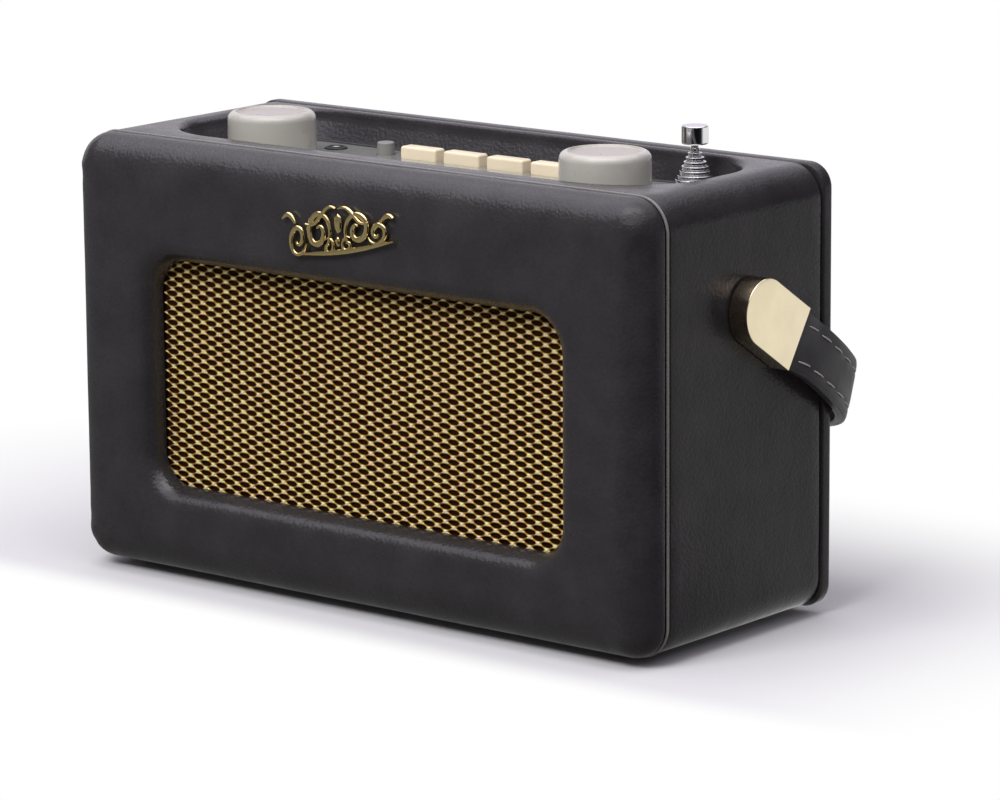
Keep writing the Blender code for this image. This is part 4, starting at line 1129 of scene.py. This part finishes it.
def caps(matrix):
    """D-shaped end caps with crisp edges and a slot that takes the strap."""
    for name, side in (("left", -1), ("right", 1)):
        node = f"handle_cap_{name}"
        low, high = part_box(node)
        near, far = sorted((abs(low.x), abs(high.x)))
        edge = 0.22 * MM
        rows = []
        for x, sign in ((near, 1), (far, -1)):
            face_rows = []
            for inset, lift in rounding(edge, 3):
                radius = CAP_R - inset
                round_end = arc((0, 0), radius, 1, 3, 40)
                flat_end = [(mix(0, CAP_END - inset, t), -radius) for t in (0.5, 1.0)]
                flat_end += [(CAP_END - inset, mix(-radius, radius, t)) for t in (0.25, 0.5, 0.75)]
                flat_end += [(CAP_END - inset, radius), (mix(0, CAP_END - inset, 0.5), radius)]
                depth = x + sign * lift
                face_rows.append([matrix @ Vector((side * depth, s, a)) for s, a in round_end + flat_end])
            rows += face_rows[::sign]
        mesh = Skin().tube(rows).mesh(node)
        slot_gap, slot_deep = 0.25 * MM, 2.5 * MM
        strap_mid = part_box("handle_strap")[1].x - STRAP_T / 2
        corner = Vector((STRAP_T / 2 + slot_gap, slot_deep, STRAP_W / 2 + 0.1 * MM))
        middle = Vector((side * strap_mid, CAP_END, 0))
        slot = block(middle - corner, middle + corner, 0.3 * MM)
        slot.points = [tuple(matrix @ Vector(point)) for point in slot.points]
        stand_for(f"{node}_plate", cut(mesh, "cap", slot), node, sharp=30)


# ---------------------------------------------------------------- the rest

def remaining_nodes():
    """Every CAD node that stays shown takes its slot's finish."""
    for node, thing in NODES.items():
        thing.data.materials.clear()
        thing.data.materials.append(FINISH[SLOT_OF[node]])


def floor():
    """A pale floor that whitens away from the cabinet. Polished parts see it darker, bright at one side."""
    n = Nodes("pale_floor")
    tone = n.colours(n.noise(0.4, 3.0), (0.3, (0.62, 0.62, 0.63)), (0.7, (0.64, 0.64, 0.65)))
    n.finish(Base_Color=tone, Roughness=0.7, Specular_IOR_Level=0.1)
    axes = n.axes()
    reach = []
    spans = (("X", 1, SHELL_HIGH.x, "right"), ("X", -1, -SHELL_LOW.x, "left"),
             ("Y", 1, REAR_HIGH.y, "back"), ("Y", -1, -FRONT_LOW.y, "front"))
    for axis, sign, edge, way in spans:
        beyond = n.maths("MAXIMUM", n.maths("MULTIPLY_ADD", axes[axis], sign, -edge), 0.0)
        scaled = n.maths("MULTIPLY", beyond, FLOOR_EASE[way])
        reach.append(n.maths("MULTIPLY", scaled, scaled))
    distance = n.maths("SQRT", n.maths("ADD", n.maths("ADD", *reach[:2]), n.maths("ADD", *reach[2:])))
    white = n.spread(distance, 0.0, 1.0, *FLOOR_WHITE, "SMOOTHSTEP")
    radius = n.vector("LENGTH", n.place)
    aim = n.vector("NORMALIZE", n.place)

    def toward(direction, low, high):
        return n.spread(n.vector("DOT_PRODUCT", aim, direction), 0.0, 1.0, low, high)

    dark = n.maths("MULTIPLY", toward(DARK_WAY, 0.62, 0.86), n.spread(radius, 0.0, 1.0, 0.12, 0.19))
    seen = n.maths("MULTIPLY_ADD", toward(BRIGHT_WAY, 0.3, 0.85), MIRRORED_BRIGHT, MIRRORED)
    seen = n.maths("MULTIPLY", seen, n.maths("SUBTRACT", 1.0, n.maths("MULTIPLY", dark, DARKEST)))
    bounced = n.add("ShaderNodeBsdfDiffuse", {"Color": (*BOUNCED, 1)}).outputs[0]
    path = n.add("ShaderNodeLightPath").outputs
    near = n.blend(white, n.shader.outputs[0], n.glow(1.0))
    shown = n.blend(path["Is Camera Ray"], bounced, near)
    n.feed(n.surface, n.blend(path["Is Glossy Ray"], shown, n.glow(seen)))
    made = bpy.data.meshes.new("floor")
    shape = bmesh.new()
    bmesh.ops.create_grid(shape, x_segments=2, y_segments=2, size=6)
    shape.to_mesh(made)
    shape.free()
    made.materials.append(n.owner)
    ground = linked("floor", made)


def lamp(name, energy, place_at, target):
    """A rectangular soft light at a point, aimed at another."""
    data = bpy.data.lights.new(name, "AREA")
    data.shape = "RECTANGLE"
    data.size, data.size_y = 0.7, 0.5
    data.energy = energy
    made = linked(name, data)
    made.location = place_at
    made.rotation_euler = (Vector(target) - Vector(place_at)).to_track_quat("-Z", "Y").to_euler()
    return made


def studio():
    """White to the camera. Everything else sees a bright ceiling, and gloss a bright wall as well."""
    n = Nodes("studio", world=True)
    bpy.context.scene.world = n.owner
    up = n.axes()["Z"]
    behind = n.vector("DOT_PRODUCT", n.place, BACKDROP_WAY)
    ceiling = n.spread(up, WALL_LIGHT, CEILING_LIGHT, sin(CEILING_FROM), sin(CEILING_TO), "SMOOTHSTEP")
    gloss = n.spread(up, WALL_LIGHT, GLOSS_LIGHT, sin(GLOSS_FROM), sin(GLOSS_TO), "SMOOTHSTEP")
    backdrop = n.spread(behind, 0.0, BACKDROP_LIGHT, 0.55, 0.85, "SMOOTHSTEP")
    mirrored = n.maths("MAXIMUM", gloss, backdrop)
    path = n.add("ShaderNodeLightPath").outputs
    strength = n.add("ShaderNodeMix", {0: path["Is Glossy Ray"], 2: ceiling, 3: mirrored}).outputs[0]
    dim = n.add("ShaderNodeBackground", {"Color": (*STUDIO_TINT, 1), "Strength": strength}).outputs[0]
    n.finish(Color=(1, 1, 1, 1))
    n.feed(n.surface, n.blend(path["Is Camera Ray"], dim, n.shader.outputs[0]))
    target = (0, 0, MID_Z)
    lamp("top_light", 2.5, (0.10, -0.18, 0.95), target)
    lamp("front_light", 13, (0.05, -0.95, 1.00), target).visible_glossy = False
    bpy.context.scene.view_settings.view_transform = "Standard"


def camera():
    """A long lens to the right of the front and a little above it."""
    azimuth, elevation, roll = radians(39.23), radians(11.95), radians(-0.42)
    distance, aside, up, lens = 1.396, 21.0 * MM, 56.2 * MM, 177.44
    target = Vector((aside, (FRONT_LOW.y + REAR_HIGH.y) / 2, SHELL_LOW.z + up))
    back = Vector((sin(azimuth) * cos(elevation), -cos(azimuth) * cos(elevation), sin(elevation)))
    data = bpy.data.cameras.new("camera")
    data.lens, data.sensor_width = lens, 36
    made = linked("camera", data)
    made.rotation_mode = "QUATERNION"
    made.rotation_quaternion = (-back).to_track_quat("-Z", "Y") @ Quaternion((0, 0, 1), roll)
    made.location = target + back * distance
    bpy.context.scene.camera = made


camera()
studio()
floor()
remaining_nodes()
front_leather()
cabinet_leather()
well_shade_bead()
piping()
rear_leather()
rear_screws()
battery_door()
sockets()
feet()
grille()
badge()
knobs()
keys()
button_and_socket()
aerial()
handle()
